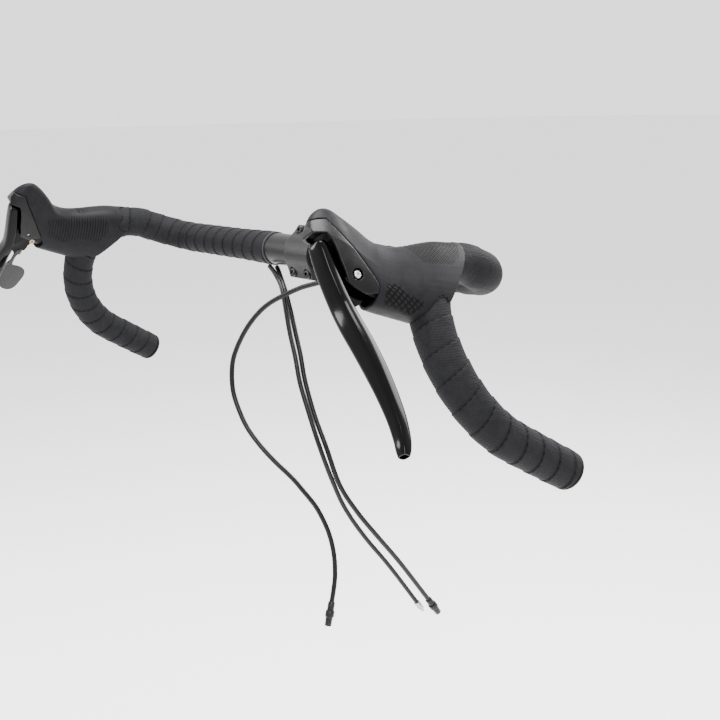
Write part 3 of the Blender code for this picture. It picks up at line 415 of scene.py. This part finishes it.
def loft(rings):
    """A closed shape through rings of points."""
    count = len(rings[0])
    points = [point for ring in rings for point in ring]
    faces = []
    for row in range(len(rings) - 1):
        for here in range(count):
            after = (here + 1) % count
            low = row * count
            high = low + count
            faces.append((low + here, low + after, high + after, high + here))
    last = (len(rings) - 1) * count
    faces.append(tuple(reversed(range(count))))
    faces.append(tuple(range(last, last + count)))
    return points, faces


def prism(outline, low, high):
    """An outline in the lever frame, from one outward distance to another."""
    return loft([[lever_point(u, v, n) for u, v in outline] for n in (low, high)])


def square_to(direction):
    """Two unit vectors square to a direction and to each other."""
    start = OUTWARD if abs(direction.dot(OUTWARD)) < 0.7 else Vector((0, 0, 1))
    across = (start - direction * start.dot(direction)).normalized()
    return across, direction.cross(across)


def circle(middle, across, other, radius, turns):
    return [middle + (across * math.cos(turn) + other * math.sin(turn)) * radius for turn in turns]


def turned(start, direction, steps, sides=40):
    """Turned part: (distance, radius) pairs along a direction."""
    across, other = square_to(direction)
    rings = []
    for distance, radius in steps:
        turns = [2 * math.pi * step / sides for step in range(sides)]
        rings.append(circle(start + direction * distance, across, other, radius, turns))
    return loft(rings)


def cylinder(start, end, radius):
    length = (end - start).length
    return turned(start, (end - start).normalized(), ((0, radius), (length, radius)))


def curve_rows(rows, parts):
    """Rows of numbers with smooth in-between rows."""
    rows = [Vector(row) for row in rows]
    ends = [rows[0] * 2 - rows[1]] + rows + [rows[-1] * 2 - rows[-2]]
    result = []
    for a, b, c, d in zip(ends, ends[1:], ends[2:], ends[3:]):
        for step in range(parts):
            t = step / parts
            value = b * 2 + (c - a) * t + (a * 2 - b * 5 + c * 4 - d) * t ** 2
            result.append((value + (b * 3 - a - c * 3 + d) * t ** 3) * 0.5)
    return result + [rows[-1]]


def resample(path, start, end, count):
    """Points at equal distances along a path, between two distances from its start."""
    result = []
    travelled = 0.0
    index = 0
    for step_number in range(count):
        distance = start + (end - start) * step_number / (count - 1)
        while index < len(path) - 2 and travelled + (path[index + 1] - path[index]).length < distance:
            travelled += (path[index + 1] - path[index]).length
            index += 1
        step = path[index + 1] - path[index]
        result.append(path[index] + step * ((distance - travelled) / step.length))
    return result


def path_frames(path):
    """Two directions square to the path at each point, without twist."""
    result = []
    across = None
    for index, point in enumerate(path):
        direction = (path[min(index + 1, len(path) - 1)] - path[max(index - 1, 0)]).normalized()
        if across is None:
            across = square_to(direction)[0]
        across = (across - direction * across.dot(direction)).normalized()
        result.append((across, direction.cross(across)))
    return result


def tube(path, outer, inner, sides):
    """Hollow tube. outer takes a row and a turn, inner takes a row; both give a radius."""
    turns = [2 * math.pi * step / sides for step in range(sides)]
    skins = []
    for radius_at in (outer, lambda row, turn: inner(row)):
        points = []
        for row, (centre, (across, other)) in enumerate(zip(path, path_frames(path))):
            for turn in turns:
                away = across * math.cos(turn) + other * math.sin(turn)
                points.append(centre + away * radius_at(row, turn))
        skins.append(points)
    shift = len(skins[0])
    faces = []
    for row in range(len(path) - 1):
        for here in range(sides):
            after = (here + 1) % sides
            low = row * sides
            high = low + sides
            faces.append((low + here, low + after, high + after, high + here))
            faces.append((shift + low + here, shift + high + here, shift + high + after, shift + low + after))
    for row in (0, len(path) - 1):
        for here in range(sides):
            low = row * sides + here
            after = row * sides + (here + 1) % sides
            faces.append((low, after, shift + after, shift + low))
    return skins[0] + skins[1], faces


# ---------------------------------------------------------------- bar and tape

def bar_half():
    """Dense points along the left half of the bar, from its middle to its end."""
    bend_start = BAR_WIDTH / 2 - BEND_RADIUS
    line = [BAR_CENTRE + SIDEWAYS * bend_start * step / 40 for step in range(40)]
    for step in range(30):
        turn = math.pi / 2 * step / 30
        x = bend_start + BEND_RADIUS * math.sin(turn)
        line.append(BAR_CENTRE + SIDEWAYS * x + FORWARD * BEND_RADIUS * (1 - math.cos(turn)))
    for step in range(50):
        line.append(plane_point(*hook_point(HOOK_TURN[0] + (HOOK_TURN[1] - HOOK_TURN[0]) * step / 50)))
    first = math.radians(HOOK_TURN[1])
    last = math.radians(DROP_END_ANGLE)
    u, v = hook_point(HOOK_TURN[1])
    for step in range(51):
        turn = first + (last - first) * step / 50
        end_u = u + DROP_RADIUS * (math.sin(turn) - math.sin(first))
        end_v = v + DROP_RADIUS * (math.cos(first) - math.cos(turn))
        line.append(plane_point(end_u, end_v))
    line.append(plane_point(end_u + DROP_TAIL * math.cos(last), end_v + DROP_TAIL * math.sin(last)))
    return line


BAR_LINE = bar_half()
BAR_LENGTH = sum((after - before).length for before, after in zip(BAR_LINE, BAR_LINE[1:]))
HOOK_START = BAR_WIDTH / 2 - BEND_RADIUS + BEND_RADIUS * math.pi / 2
CLAMP_DISTANCE = HOOK_START + HOOK_RADIUS * math.radians(CLAMP_ANGLE - HOOK_TURN[0])
BAR_ROWS = 180


def bar_radius(distance):
    """The bar's outer radius at a distance from its middle."""
    share = min(max((distance - CLAMP_ZONE) / (TAPER_END - CLAMP_ZONE), 0), 1)
    return CLAMP_RADIUS + (GRIP_RADIUS - CLAMP_RADIUS) * share * share * (3 - 2 * share)


def make_bar():
    """The whole tube, from its two mirrored halves."""
    half = resample(BAR_LINE, 0, BAR_LENGTH, BAR_ROWS)
    middle = BAR_ROWS - 1
    path = [Vector((-point.x, point.y, point.z)) for point in reversed(half[1:])] + half
    step = BAR_LENGTH / middle

    def outer(row, turn):
        return bar_radius(abs(row - middle) * step)

    def inner(row):
        return bar_radius(abs(row - middle) * step) - BAR_WALL

    bar = mesh_object("bar_tube", tube(path, outer, inner, 48))
    dress(bar, "bar_alloy", "bar", "handlebar_tube", sharp=40)


WRAP_PITCH = 19.0
WRAP_STEP = 0.7
WRAP_RISE = 0.26
SEAM_DEPTH = 0.22
SEAM_WIDTH = 0.9
LUMP_HEIGHT = 0.22
LUMP_LENGTH = 26
CLAMP_BAND_REACH = 14
TAPE_SPACING = 1.0
TAPE_SIDES = 56


def make_tape(side_name, side):
    """Wound tape: each turn's edge stands up a little over the last one."""
    start = TAPE_START + FINISH_LENGTH + GAP
    count = round((BAR_LENGTH - GAP - start) / TAPE_SPACING)
    path = resample(BAR_LINE, start, BAR_LENGTH - GAP, count)
    seam_shades = []

    def distance(row):
        return start + (BAR_LENGTH - GAP - start) * row / (count - 1)

    def outer(row, turn):
        along = distance(row)
        share = min(max((along - TAPE_START) / (TAPER_END - TAPE_START), 0), 1)
        base = TAPE_CLAMP_RADIUS + (TAPE_RADIUS - TAPE_CLAMP_RADIUS) * share
        phase = (along / WRAP_PITCH - turn / (2 * math.pi)) % 1.0
        rise = WRAP_RISE - WRAP_STEP * phase ** 0.8
        fall = math.exp(-((1 - phase) * WRAP_PITCH) / SEAM_WIDTH)
        # painted shade: the crease at each seam is also darkened in the base colour, through the groove
        # attribute
        seam_shades.append(fall)
        spot = Vector((along / LUMP_LENGTH, math.cos(turn) * 1.1, math.sin(turn) * 1.1))
        lump = noise.noise(spot) * LUMP_HEIGHT
        edge = min(along - start, BAR_LENGTH - along) / 2
        return base + rise - SEAM_DEPTH * fall + lump - (0.5 * (1 - edge) if edge < 1 else 0)

    def inner(row):
        along = distance(row)
        over_band = abs(along - CLAMP_DISTANCE) < CLAMP_BAND_REACH
        return TAPE_BORE if over_band else bar_radius(along) + GAP

    shape = tube(path, outer, inner, TAPE_SIDES)
    tape = mesh_object("tape_" + side_name, shape, side)
    # the groove attribute holds painted shade for the seam creases
    marks = tape.data.attributes.new("groove_shade", "FLOAT", "POINT")
    marks.data.foreach_set("value", seam_shades + [0.0] * (len(tape.data.vertices) - len(seam_shades)))
    dress(tape, "tape", "bar", "bar_tape_" + side_name)


def make_finishing(side_name, side):
    """The round band over the tape's end at the stem."""
    rows = 13
    path = resample(BAR_LINE, TAPE_START, TAPE_START + FINISH_LENGTH, rows)
    centre = (rows - 1) / 2

    def outer(row, turn):
        away = abs(row - centre) / centre
        return CLAMP_RADIUS + 0.55 + 0.65 * math.sqrt(1 - away ** 4 * 0.98)

    shape = tube(path, outer, lambda row: CLAMP_RADIUS + GAP, 64)
    ring = mesh_object("finish_ring_" + side_name, shape, side)
    dress(ring, "finishing_rubber", "bar", "finishing_tape_" + side_name, sharp=60)


def make_plug(side_name, side):
    """End plug: a spigot in the bar and a rounded cap with a dished middle."""
    end, before = resample(BAR_LINE, BAR_LENGTH - 1, BAR_LENGTH, 2)[::-1]
    direction = (end - before).normalized()
    spigot = GRIP_RADIUS - BAR_WALL - GAP
    steps = [(-18, spigot - 1), (-16.6, spigot - 0.2), (-16, spigot), (GAP, spigot), (GAP, TAPE_RADIUS - 0.9)]
    steps += [(0.6, TAPE_RADIUS - 0.5), (1.2, TAPE_RADIUS - 0.35)]
    for step in range(1, 9):
        turn = math.pi / 2 * step / 9
        steps.append((1.4 + 3.2 * math.sin(turn), TAPE_RADIUS - 4.4 + 4.0 * math.cos(turn)))
    steps += [(4.7, 9.5), (4.3, 8.9), (4.3, 5.2), (4.8, 4.6), (5.0, 2.0), (5.0, 0.3)]
    plug = mesh_object("end_plug_" + side_name, turned(end, direction, steps, 56), side)
    dress(plug, "black_plastic", "bar", "bar_end_plug_" + side_name, sharp=50)


# ---------------------------------------------------------------- hood and cover

# Each row is the top's u and v, the underside's u and v, and half the width.
LEVER_SECTIONS = (
    (54, -10, 68, 60, 19.4), (68, -9, 84, 62, 19.4), (79, -6.5, 95, 63.5, 19.2), (92, -3.5, 106, 64, 18.6),
    (105, 1.4, 118, 64, 17.5), (120, 7.8, 130, 64, 16.3), (135, 12.6, 140, 64, 15.3),
    (147, 13.1, 149, 63.7, 14.9), (154, 11, 155, 63, 14.8), (161, 6, 160, 62.3, 14.7),
    (168, 1.5, 165, 61.5, 14.6), (176, -2.9, 172, 59.5, 14.3), (184, -5.5, 178, 56, 13.7),
    (191, -3.8, 185, 50, 12.6), (197, 1.6, 191.5, 40, 10.6), (201, 9, 197, 31, 8.4),
    (202.8, 15, 200.5, 24.5, 6.4),
)
SEAM = ((215, 9.6), (197.6, 8.7), (190.5, 7), (186.3, 13), (152.5, 49.6), (150.8, 52.6), (151.2, 57.3))
COVER_WINDOW = (
    (240, 20.5), (197, 20.5), (192, 20), (190, 22.5), (186, 31), (182.8, 39), (178, 48), (174.6, 55.5),
    (169, 59.3), (159, 58.8), (153.5, 57), (20, 57), (20, 100), (240, 100),
)
BLADE_SLOT = ((250, 20.6), (191.5, 20.6), (150, 44), (150, 90), (250, 90))
SLOT_HALF_WIDTH = 8.9
TOOL_HOLE_RADIUS = 1.3
HOOD_REAR = (
    (10, -60), (61, -60), (66, -14), (68, 6), (72, 18), (79, 33), (86, 48), (94, 63), (98, 90), (10, 90),
)
COVER_INNER_EDGE = ((140, 42), (157, 46.2), (163, 49.5), (166, 53.4), (176.3, 53.8), (190, 70), (140, 70))
SIDE_PATCH = ((146, 49), (136, 47), (128, 52), (112, 55), (111, 60), (118, 64), (146, 62.5))
INNER_PATCH = ((159.4, 24.7), (150, 21), (94.4, 1.8), (89, 16), (93.2, 31), (118, 35), (130, 45), (150, 42.4))
SHOULDER_PATCH = ((127, 9), (97, 0), (71, -7), (76, 12), (86, 22), (112, 26))


def inward(points, side):
    """Unit vectors square to a line of points, to one side of it."""
    result = []
    for index in range(len(points)):
        step = points[min(index + 1, len(points) - 1)] - points[max(index - 1, 0)]
        step.normalize()
        result.append(Vector((-step.y, step.x)) * side)
    return result


def lever_shape(skin):
    """The lever's whole outer shape, shrunk by a skin thickness."""
    sections = curve_rows(LEVER_SECTIONS, 4)
    tops = [Vector(section[0:2]) for section in sections]
    lows = [Vector(section[2:4]) for section in sections]
    rings = []
    for top, top_in, low, low_in, section in zip(tops, inward(tops, 1), lows, inward(lows, -1), sections):
        top = top + top_in * skin
        low = low + low_in * skin
        crown = min(max((section[0] - 150) / 25, 0), 1) * CROWN_TAPER
        ring = []
        for step in range(48):
            turn = 2 * math.pi * step / 48
            across = math.copysign(abs(math.sin(turn)) ** 0.72, math.sin(turn))
            height = math.copysign(abs(math.cos(turn)) ** 0.8, math.cos(turn))
            u, v = (top + low) / 2 + (top - low) / 2 * height
            ring.append(lever_point(u, v, (section[4] - skin) * across * (1 - crown * max(height, 0))))
        rings.append(ring)
    return loft(rings)


def seam_line(shift):
    """The seam between hood and cover, moved sideways."""
    points = [Vector(point) for point in SEAM]
    return [tuple(point + away * shift) for point, away in zip(points, inward(points, -1))]


def bar_sleeve(radius):
    """The room that the taped bar takes inside the hood."""
    path = resample(BAR_LINE, CLAMP_DISTANCE - 90, CLAMP_DISTANCE + 90, 46)
    rings = []
    turns = [2 * math.pi * step / 48 for step in range(48)]
    for centre, (across, other) in zip(path, path_frames(path)):
        rings.append(circle(centre, across, other, radius, turns))
    return loft(rings)


def depth_in(a, b, outline):
    """How far inside an outline a point is; negative outside."""
    place = Vector((a, b))
    near = 1e9
    inside = False
    for index, corner in enumerate(outline):
        first = Vector(corner)
        second = Vector(outline[(index + 1) % len(outline)])
        along = second - first
        share = min(max((place - first).dot(along) / along.length_squared, 0), 1)
        near = min(near, (place - first - along * share).length)
        if (first.y > b) != (second.y > b) and a < first.x + (b - first.y) / along.y * along.x:
            inside = not inside
    return near if inside else -near


def ribs(waves, depth, height):
    """Moulded ribs or diamonds that fade out at a patch's edge.

    Returns the height and how deep in a groove the place is, from 0 to 1; the depth sets the painted shade in
    the groove.
    """
    fade = min(max(depth / 1.2, 0), 1)
    level = min(math.cos(2 * math.pi * wave) for wave in waves)
    return height * level * fade, max(-level, 0) * fade


def press_hood(hood, side):
    """Mould the grip patches into the hood's outer skin, and mark their grooves for painted shade."""
    mesh = hood.data
    groove_shades = []
    moves = []
    for vertex in mesh.vertices:
        u, v, n = lever_place(vertex.co, side)
        normal = Vector((vertex.normal.x * side, vertex.normal.y, vertex.normal.z))
        sideways = normal.dot(LEVER_OUTWARD)
        upward = -normal.dot(DOWN)
        rise = groove_shade = 0.0
        outer_skin = sideways * n + upward * (32 - v) > 0
        if outer_skin and n > 4 and v > 40:
            waves = ((u * 0.42 + v * 0.91) / 2.6, (u * 0.8 - v * 0.6) / 4.2)
            rise, groove_shade = ribs(waves, depth_in(u, v, SIDE_PATCH), 0.22)
        elif outer_skin and n < -5:
            rise, groove_shade = ribs(((u + v * 0.25) / 3.0,), depth_in(u, v, INNER_PATCH), 0.36)
        elif outer_skin and n > -5:
            waves = ((u + v * 0.9) / 3.0, (u - v * 0.9) / 3.0)
            rise, groove_shade = ribs(waves, depth_in(u, v, SHOULDER_PATCH), 0.13)
        groove_shades.append(groove_shade)
        moves.append(vertex.normal * rise * MM)
    for vertex, move in zip(mesh.vertices, moves):
        vertex.co += move
    # painted shade: the groove attribute darkens the base colour in the rib grooves
    marks = mesh.attributes.new("groove_shade", "FLOAT", "POINT")
    marks.data.foreach_set("value", groove_shades)


def make_hood(side_name, side):
    """The rubber hood: the lever's outer skin behind the seam."""
    front = seam_line(-0.25) + [(152.5, 64.5), (152.5, 100), (260, 100), (260, 9.4)]
    rear = [tuple(point) for point in curve_rows(HOOD_REAR, 3)]
    cuts = [(lever_shape(HOOD_WALL), "DIFFERENCE"), (prism(front, -40, 40), "DIFFERENCE")]
    cuts += [(prism(rear, -40, 40), "DIFFERENCE"), (bar_sleeve(TAPE_RADIUS + 0.45), "DIFFERENCE")]
    hood = carved("rubber_hood_" + side_name, lever_shape(0), cuts, side)
    soften(hood, 0.65, 5)
    press_hood(hood, side)
    dress(hood, "hood_rubber", "bar", "hood_" + side_name)


def make_cover(side_name, side):
    """The front cover: the lever's skin ahead of the seam, open for the blade."""
    rear = seam_line(0.25) + [(20, 57.3), (20, -60), (215, -60)]
    hole = cylinder(lever_point(*PIN, 0), lever_point(*PIN, 30), PIN_RADIUS + 1.3)
    tool_hole = cylinder(lever_point(*PIN, -30), lever_point(*PIN, 0), TOOL_HOLE_RADIUS)
    cuts = [(lever_shape(COVER_WALL), "DIFFERENCE")]
    openings = (
        (rear, -40, 40), (COVER_WINDOW, -40, 40), (COVER_INNER_EDGE, -40, -1),
        (BLADE_SLOT, -SLOT_HALF_WIDTH, SLOT_HALF_WIDTH),
    )
    for outline, low, high in openings:
        cuts.append((prism(outline, low, high), "DIFFERENCE"))
    cuts += [(hole, "DIFFERENCE"), (tool_hole, "DIFFERENCE")]
    cover = carved("lever_cover_" + side_name, lever_shape(0.05), cuts, side)
    soften(cover, 0.45, 6)
    dress(cover, "grey_plastic", "bar", "front_cover_" + side_name)


# ---------------------------------------------------------------- blade, pins and paddle

# Each row is the centre's u, v and n, the depth, and half the width.
BLADE_SECTIONS = (
    (193.2, 24.0, 0, 7.6, 6.4), (192.6, 26.7, 0, 9.7, 7.6), (189.3, 36.2, 0, 10.7, 8.2),
    (185.6, 46.5, 0, 11.2, 8.4), (181.7, 58.8, 0.9, 10.4, 8.5), (178.0, 71.0, 2.9, 10.5, 8.6),
    (175.2, 86.2, 8.5, 11.8, 8.6), (171.0, 102.3, 14.1, 12.6, 8.4), (166.7, 120.4, 19.7, 12.6, 7.8),
    (162.9, 137.6, 24.2, 11.8, 7.0), (159.7, 155.1, 28.0, 10.8, 6.2), (158.2, 169.3, 30.1, 9.5, 5.6),
    (158.6, 177.6, 31.2, 8.2, 5.0), (159.2, 182.6, 31.7, 6.2, 4.0),
)
LEVER_ARM = (
    (189, 32), (188.5, 45), (182.5, 62), (171.5, 76), (169.5, 70), (165, 66.5), (160.5, 62),
    (158.5, 53), (159.5, 44), (164, 38.5), (174.5, 35), (184.5, 30.5),
)
BLADE_SIDES = 56
PADDLE_PLATE = (-3.2, -1.5)
PADDLE_LUG = ((161, 58), (171, 60), (169.6, 68.5), (167, 70.2), (161.8, 70.2), (160.6, 66))
PADDLE_OUTLINE = (
    (163.8, 72.5), (168.2, 72.5), (169.6, 80), (169.8, 85.5), (172.1, 91), (172.4, 100), (171.0, 112),
    (167, 120.2), (160, 122.4), (154, 120.6), (150.5, 116), (148.8, 109), (147.5, 101.5), (148.6, 95.8),
    (152, 92.5), (158, 91.2), (164.4, 91.2), (166.4, 88.4), (166.6, 81), (165.2, 76.5),
)


def blade_rings(shrink=0.0):
    """Cross sections along the blade, square to it, with a flat front and rounded corners."""
    sections = curve_rows(BLADE_SECTIONS, 6)
    centres = [Vector(section[:3]) for section in sections]
    rings = []
    for index, (centre, section) in enumerate(zip(centres, sections)):
        along = centres[min(index + 1, len(centres) - 1)] - centres[max(index - 1, 0)]
        along.normalize()
        ahead = (Vector((1, 0, 0)) - along * along.x).normalized()
        aside = ahead.cross(along)
        ring = []
        for step in range(BLADE_SIDES):
            turn = 2 * math.pi * step / BLADE_SIDES
            across = math.copysign(abs(math.sin(turn)) ** 0.55, math.sin(turn))
            depth = math.copysign(abs(math.cos(turn)) ** 0.62, math.cos(turn))
            place = centre + ahead * (section[3] / 2 * (1 - shrink) * depth)
            place = place + aside * (section[4] * (1 - shrink) * across)
            ring.append(lever_point(*place))
        rings.append(ring)
    return rings


def paddle_rod(start, end, radius):
    """A cylinder along the paddle's axis, between two places along the lever."""
    u, n = PADDLE_AXIS
    return cylinder(lever_point(u, start, n), lever_point(u, end, n), radius)


def make_blade(side_name, side):
    """The blade with its arm, hollow at the tip; the right one carries the paddle's lug."""
    hollow = blade_rings(0.22)
    hollow = hollow[-9:] + [[point + DOWN * 3 for point in hollow[-1]]]
    arm = [tuple(point) for point in curve_rows(LEVER_ARM + LEVER_ARM[:1], 3)][:-1]
    cuts = [(loft(hollow), "DIFFERENCE"), (prism(arm, -6, 3.9), "UNION")]
    cuts.append((cylinder(lever_point(*PIN, -12), lever_point(*PIN, 12), PIN_RADIUS + GAP), "DIFFERENCE"))
    if side_name == "right":
        cuts.append((prism(PADDLE_LUG, -5.2, 3.2), "UNION"))
        cuts.append((paddle_rod(58, 75, 1.6), "DIFFERENCE"))
    blade = carved("lever_blade_" + side_name, loft(blade_rings()), cuts, side)
    dress(blade, "blade_gloss", side_name + "_brake", "brake_lever_" + side_name, sharp=38)


def make_fasteners(side_name, side):
    """The pivot pin and the set screw that locks it."""
    steps = ((-11.6, 2.5), (-11.3, 2.85), (-10.9, PIN_RADIUS), (12.1, PIN_RADIUS), (12.6, 2.8), (12.9, 2.4))
    pin = turned(lever_point(*PIN), LEVER_OUTWARD, steps, 48)
    socket = turned(lever_point(*PIN), LEVER_OUTWARD, ((11.9, 1.2), (15, 1.2)), 6)
    pin = carved("pin_" + side_name, pin, [(socket, "DIFFERENCE")], side)
    dress(pin, "bright_steel", "bar", "pivot_pin_" + side_name, sharp=35)
    steps = ((-11, 2.3), (-10.9, 2.6), (-10.6, 2.8), (-9.3, 2.8), (-9.3, 1.6), (-6.9, 1.6))
    screw = turned(lever_point(*SET_SCREW), LEVER_OUTWARD, steps, 48)
    socket = turned(lever_point(*SET_SCREW), LEVER_OUTWARD, ((-14, 1.3), (-9.9, 1.3)), 6)
    screw = carved("lock_screw_" + side_name, screw, [(socket, "DIFFERENCE")], side)
    dress(screw, "bronze", "bar", "set_screw_" + side_name, sharp=35)


def make_paddle():
    """The shift paddle: a plate with a boss on its axis, on the right side only."""
    outline = [tuple(point) for point in curve_rows(PADDLE_OUTLINE, 4)]
    plate = prism(outline, *(PADDLE_AXIS[1] + face for face in PADDLE_PLATE))
    cuts = [(paddle_rod(PADDLE_TOP, PADDLE_TOP + 6.4, 2.8), "UNION")]
    cuts.append((paddle_rod(60, 80, 1.6), "DIFFERENCE"))
    cuts.append((paddle_rod(PADDLE_TOP + 6.5, PADDLE_TOP + 9, 2.9), "DIFFERENCE"))
    paddle = carved("paddle_blade", plate, cuts, -1)
    bevel(paddle, 0.35, 3, 50)
    dress(paddle, "paddle_plastic", "paddle", "shift_paddle", sharp=40)


# ---------------------------------------------------------------- stem and bolts

def make_stem():
    """Stem body and faceplate: the CAD shapes with rounded edges."""
    for node, name in (("stem_body", "stem_forging"), ("stem_faceplate", "stem_cap")):
        part = copy_of(node, name)
        soften(part, 0.5, 6)
        dress(part, "stem_alloy", "bar", node)


def socket_bolt(name, node, start, direction, steps, socket):
    hexagon = turned(start, direction, socket, 6)
    bolt = carved(name, turned(start, direction, steps, 48), [(hexagon, "DIFFERENCE")])
    dress(bolt, "bolt_steel", "bar", node, sharp=35)


# Distance along the bolt and radius, from the shank's end to the head.
CAP_BOLT = (
    (-15, 2.2), (-14.5, 2.5), (7.7, 2.5), (7.7, 4.1), (7.8, 4.2), (11, 4.2), (11.4, 4.0), (11.6, 3.7),
)
CLAMP_SCREW = ((-9, 2.5), (6.7, 2.5), (6.7, 4.1), (6.8, 4.2), (10, 4.2), (10.4, 4.0), (10.6, 3.7))


def make_stem_bolts():
    for vertical, up in (("upper", 21.0), ("lower", -21.0)):
        for side_name, side in SIDES.items():
            start = BAR_CENTRE + STEM_UP * up + SIDEWAYS * side * 11.5
            name = vertical + "_" + side_name
            socket_bolt("cap_bolt_" + name, "faceplate_bolt_" + name, start, STEM_AXIS,
                        CAP_BOLT, ((9, 2.0), (14, 2.0)))
    for name, height in (("lower", 10), ("upper", 30)):
        start = STEER_AXIS * height - STEM_AXIS * 22
        socket_bolt("clamp_screw_" + name, "steerer_bolt_" + name, start, SIDEWAYS,
                    CLAMP_SCREW, ((8, 2.0), (13, 2.0)))


# ---------------------------------------------------------------- hoses

# Routes, from the exit at the stem, in millimetres from the bar's centre.
FRONT_HOSE_ROUTE = (
    (57, -12.5, -16.2), (47, -15, -19.5), (34, -19, -24), (20, -24, -28), (6, -30, -34), (-14, -42, -46),
    (-26, -52, -60), (-35, -61, -78), (-41, -68, -98), (-42, -71, -114), (-40, -72, -133),
    (-34, -71, -149), (-24, -68, -168), (-12, -61, -186), (0, -52, -202), (12, -41, -218),
    (20, -33, -232), (28, -25, -247), (35, -20, -263), (40, -17, -278), (46, -17, -297),
    (50, -20, -319), (52, -26, -340),
)
REAR_HOSE_ROUTE = (
    (-57, -2, -19), (-49, -6, -21), (-40, -10, -26), (-28, -14, -36), (-15, -17, -56),
    (-4, -20, -75), (8, -23, -97), (17, -25, -121), (31, -25, -153), (46, -23, -183),
    (54, -14, -221), (61, 1, -250), (66, 20, -277), (68, 50, -315), (68, 88, -366),
)
HOUSING_ROUTE = (
    (-57, -11, -17), (-48, -13.5, -20), (-38, -16, -25), (-24, -20, -35), (-11, -25, -56),
    (0, -29, -76), (12, -32, -98), (21, -34, -121), (34, -33, -152), (45, -30, -182),
    (49, -19, -217), (48, -3, -250), (49, 20, -285), (51, 50, -324), (52, 86, -374),
)
HOSE_END = (
    (0.3, 3.0), (0.7, 3.3), (1.4, 3.5), (9, 3.5), (9.1, 4.4), (9.4, 4.5), (14.8, 4.5), (15.2, 4.4), (16, 3.6),
    (24, 3.4), (24.4, 3.2), (24.6, 2.8),
)
FERRULE = (
    (0.3, 2.9), (0.6, 3.05), (1, 3.1), (10.8, 3.1), (11.2, 3.0), (12, 2.6), (12, 1.6), (15.7, 1.5), (16, 1.4),
)


def make_hose(name, node, end_name, end_node, route, radius, end_steps, end_slot):
    """A hose or housing on one smooth curve, with the fitting on its far end."""
    places = [BAR_CENTRE + Vector(point) for point in route]
    dense = curve_rows(places, 12)
    length = sum((after - before).length for before, after in zip(dense, dense[1:]))
    places = resample(dense, 0, length, 40)
    curve = bpy.data.curves.new(name, "CURVE")
    curve.dimensions = "3D"
    curve.bevel_depth = radius * MM
    curve.bevel_resolution = 6
    curve.use_fill_caps = True
    curve.resolution_u = 6
    line = curve.splines.new("BEZIER")
    line.bezier_points.add(len(places) - 1)
    for point, place in zip(line.bezier_points, places):
        point.co = place * MM
        point.handle_left_type = point.handle_right_type = "AUTO"
    hose = bpy.data.objects.new(name, curve)
    bpy.context.scene.collection.objects.link(hose)
    dress(hose, "hose", "bar", node)
    direction = (places[-1] - places[-2]).normalized()
    end = mesh_object(end_name, turned(places[-1], direction, end_steps, 40))
    dress(end, end_slot, "bar", end_node, sharp=35)


def make_hoses():
    make_hose("hose_front", "front_brake_hose", "hose_front_end", "front_hose_fitting",
              FRONT_HOSE_ROUTE, HOSE_RADIUS, HOSE_END, "bolt_steel")
    make_hose("hose_rear", "rear_brake_hose", "hose_rear_end", "rear_hose_fitting",
              REAR_HOSE_ROUTE, HOSE_RADIUS, HOSE_END, "bolt_steel")
    make_hose("housing_shift", "shift_housing", "housing_end", "housing_ferrule",
              HOUSING_ROUTE, HOUSING_RADIUS, FERRULE, "bright_steel")


# ---------------------------------------------------------------- all together

def dress_cad_nodes():
    """Every CAD node gets its slot's finished material; the return springs get a dark one."""
    slots = {part["node"]: part["material_slot"] for part in frame["record"]["subparts"]}
    for name, node in frame["nodes"].items():
        dark_spring = name.startswith("return_spring")
        node.data.materials.clear()
        node.data.materials.append(LOOKS["bolt_steel" if dark_spring else slots[name]])


make_camera()
make_hoses()
make_studio()
dress_cad_nodes()
make_bar()
make_stem()
make_stem_bolts()
for side_name, side in SIDES.items():
    make_tape(side_name, side)
    make_finishing(side_name, side)
    make_plug(side_name, side)
    make_hood(side_name, side)
    make_cover(side_name, side)
    make_blade(side_name, side)
    make_fasteners(side_name, side)
make_paddle()
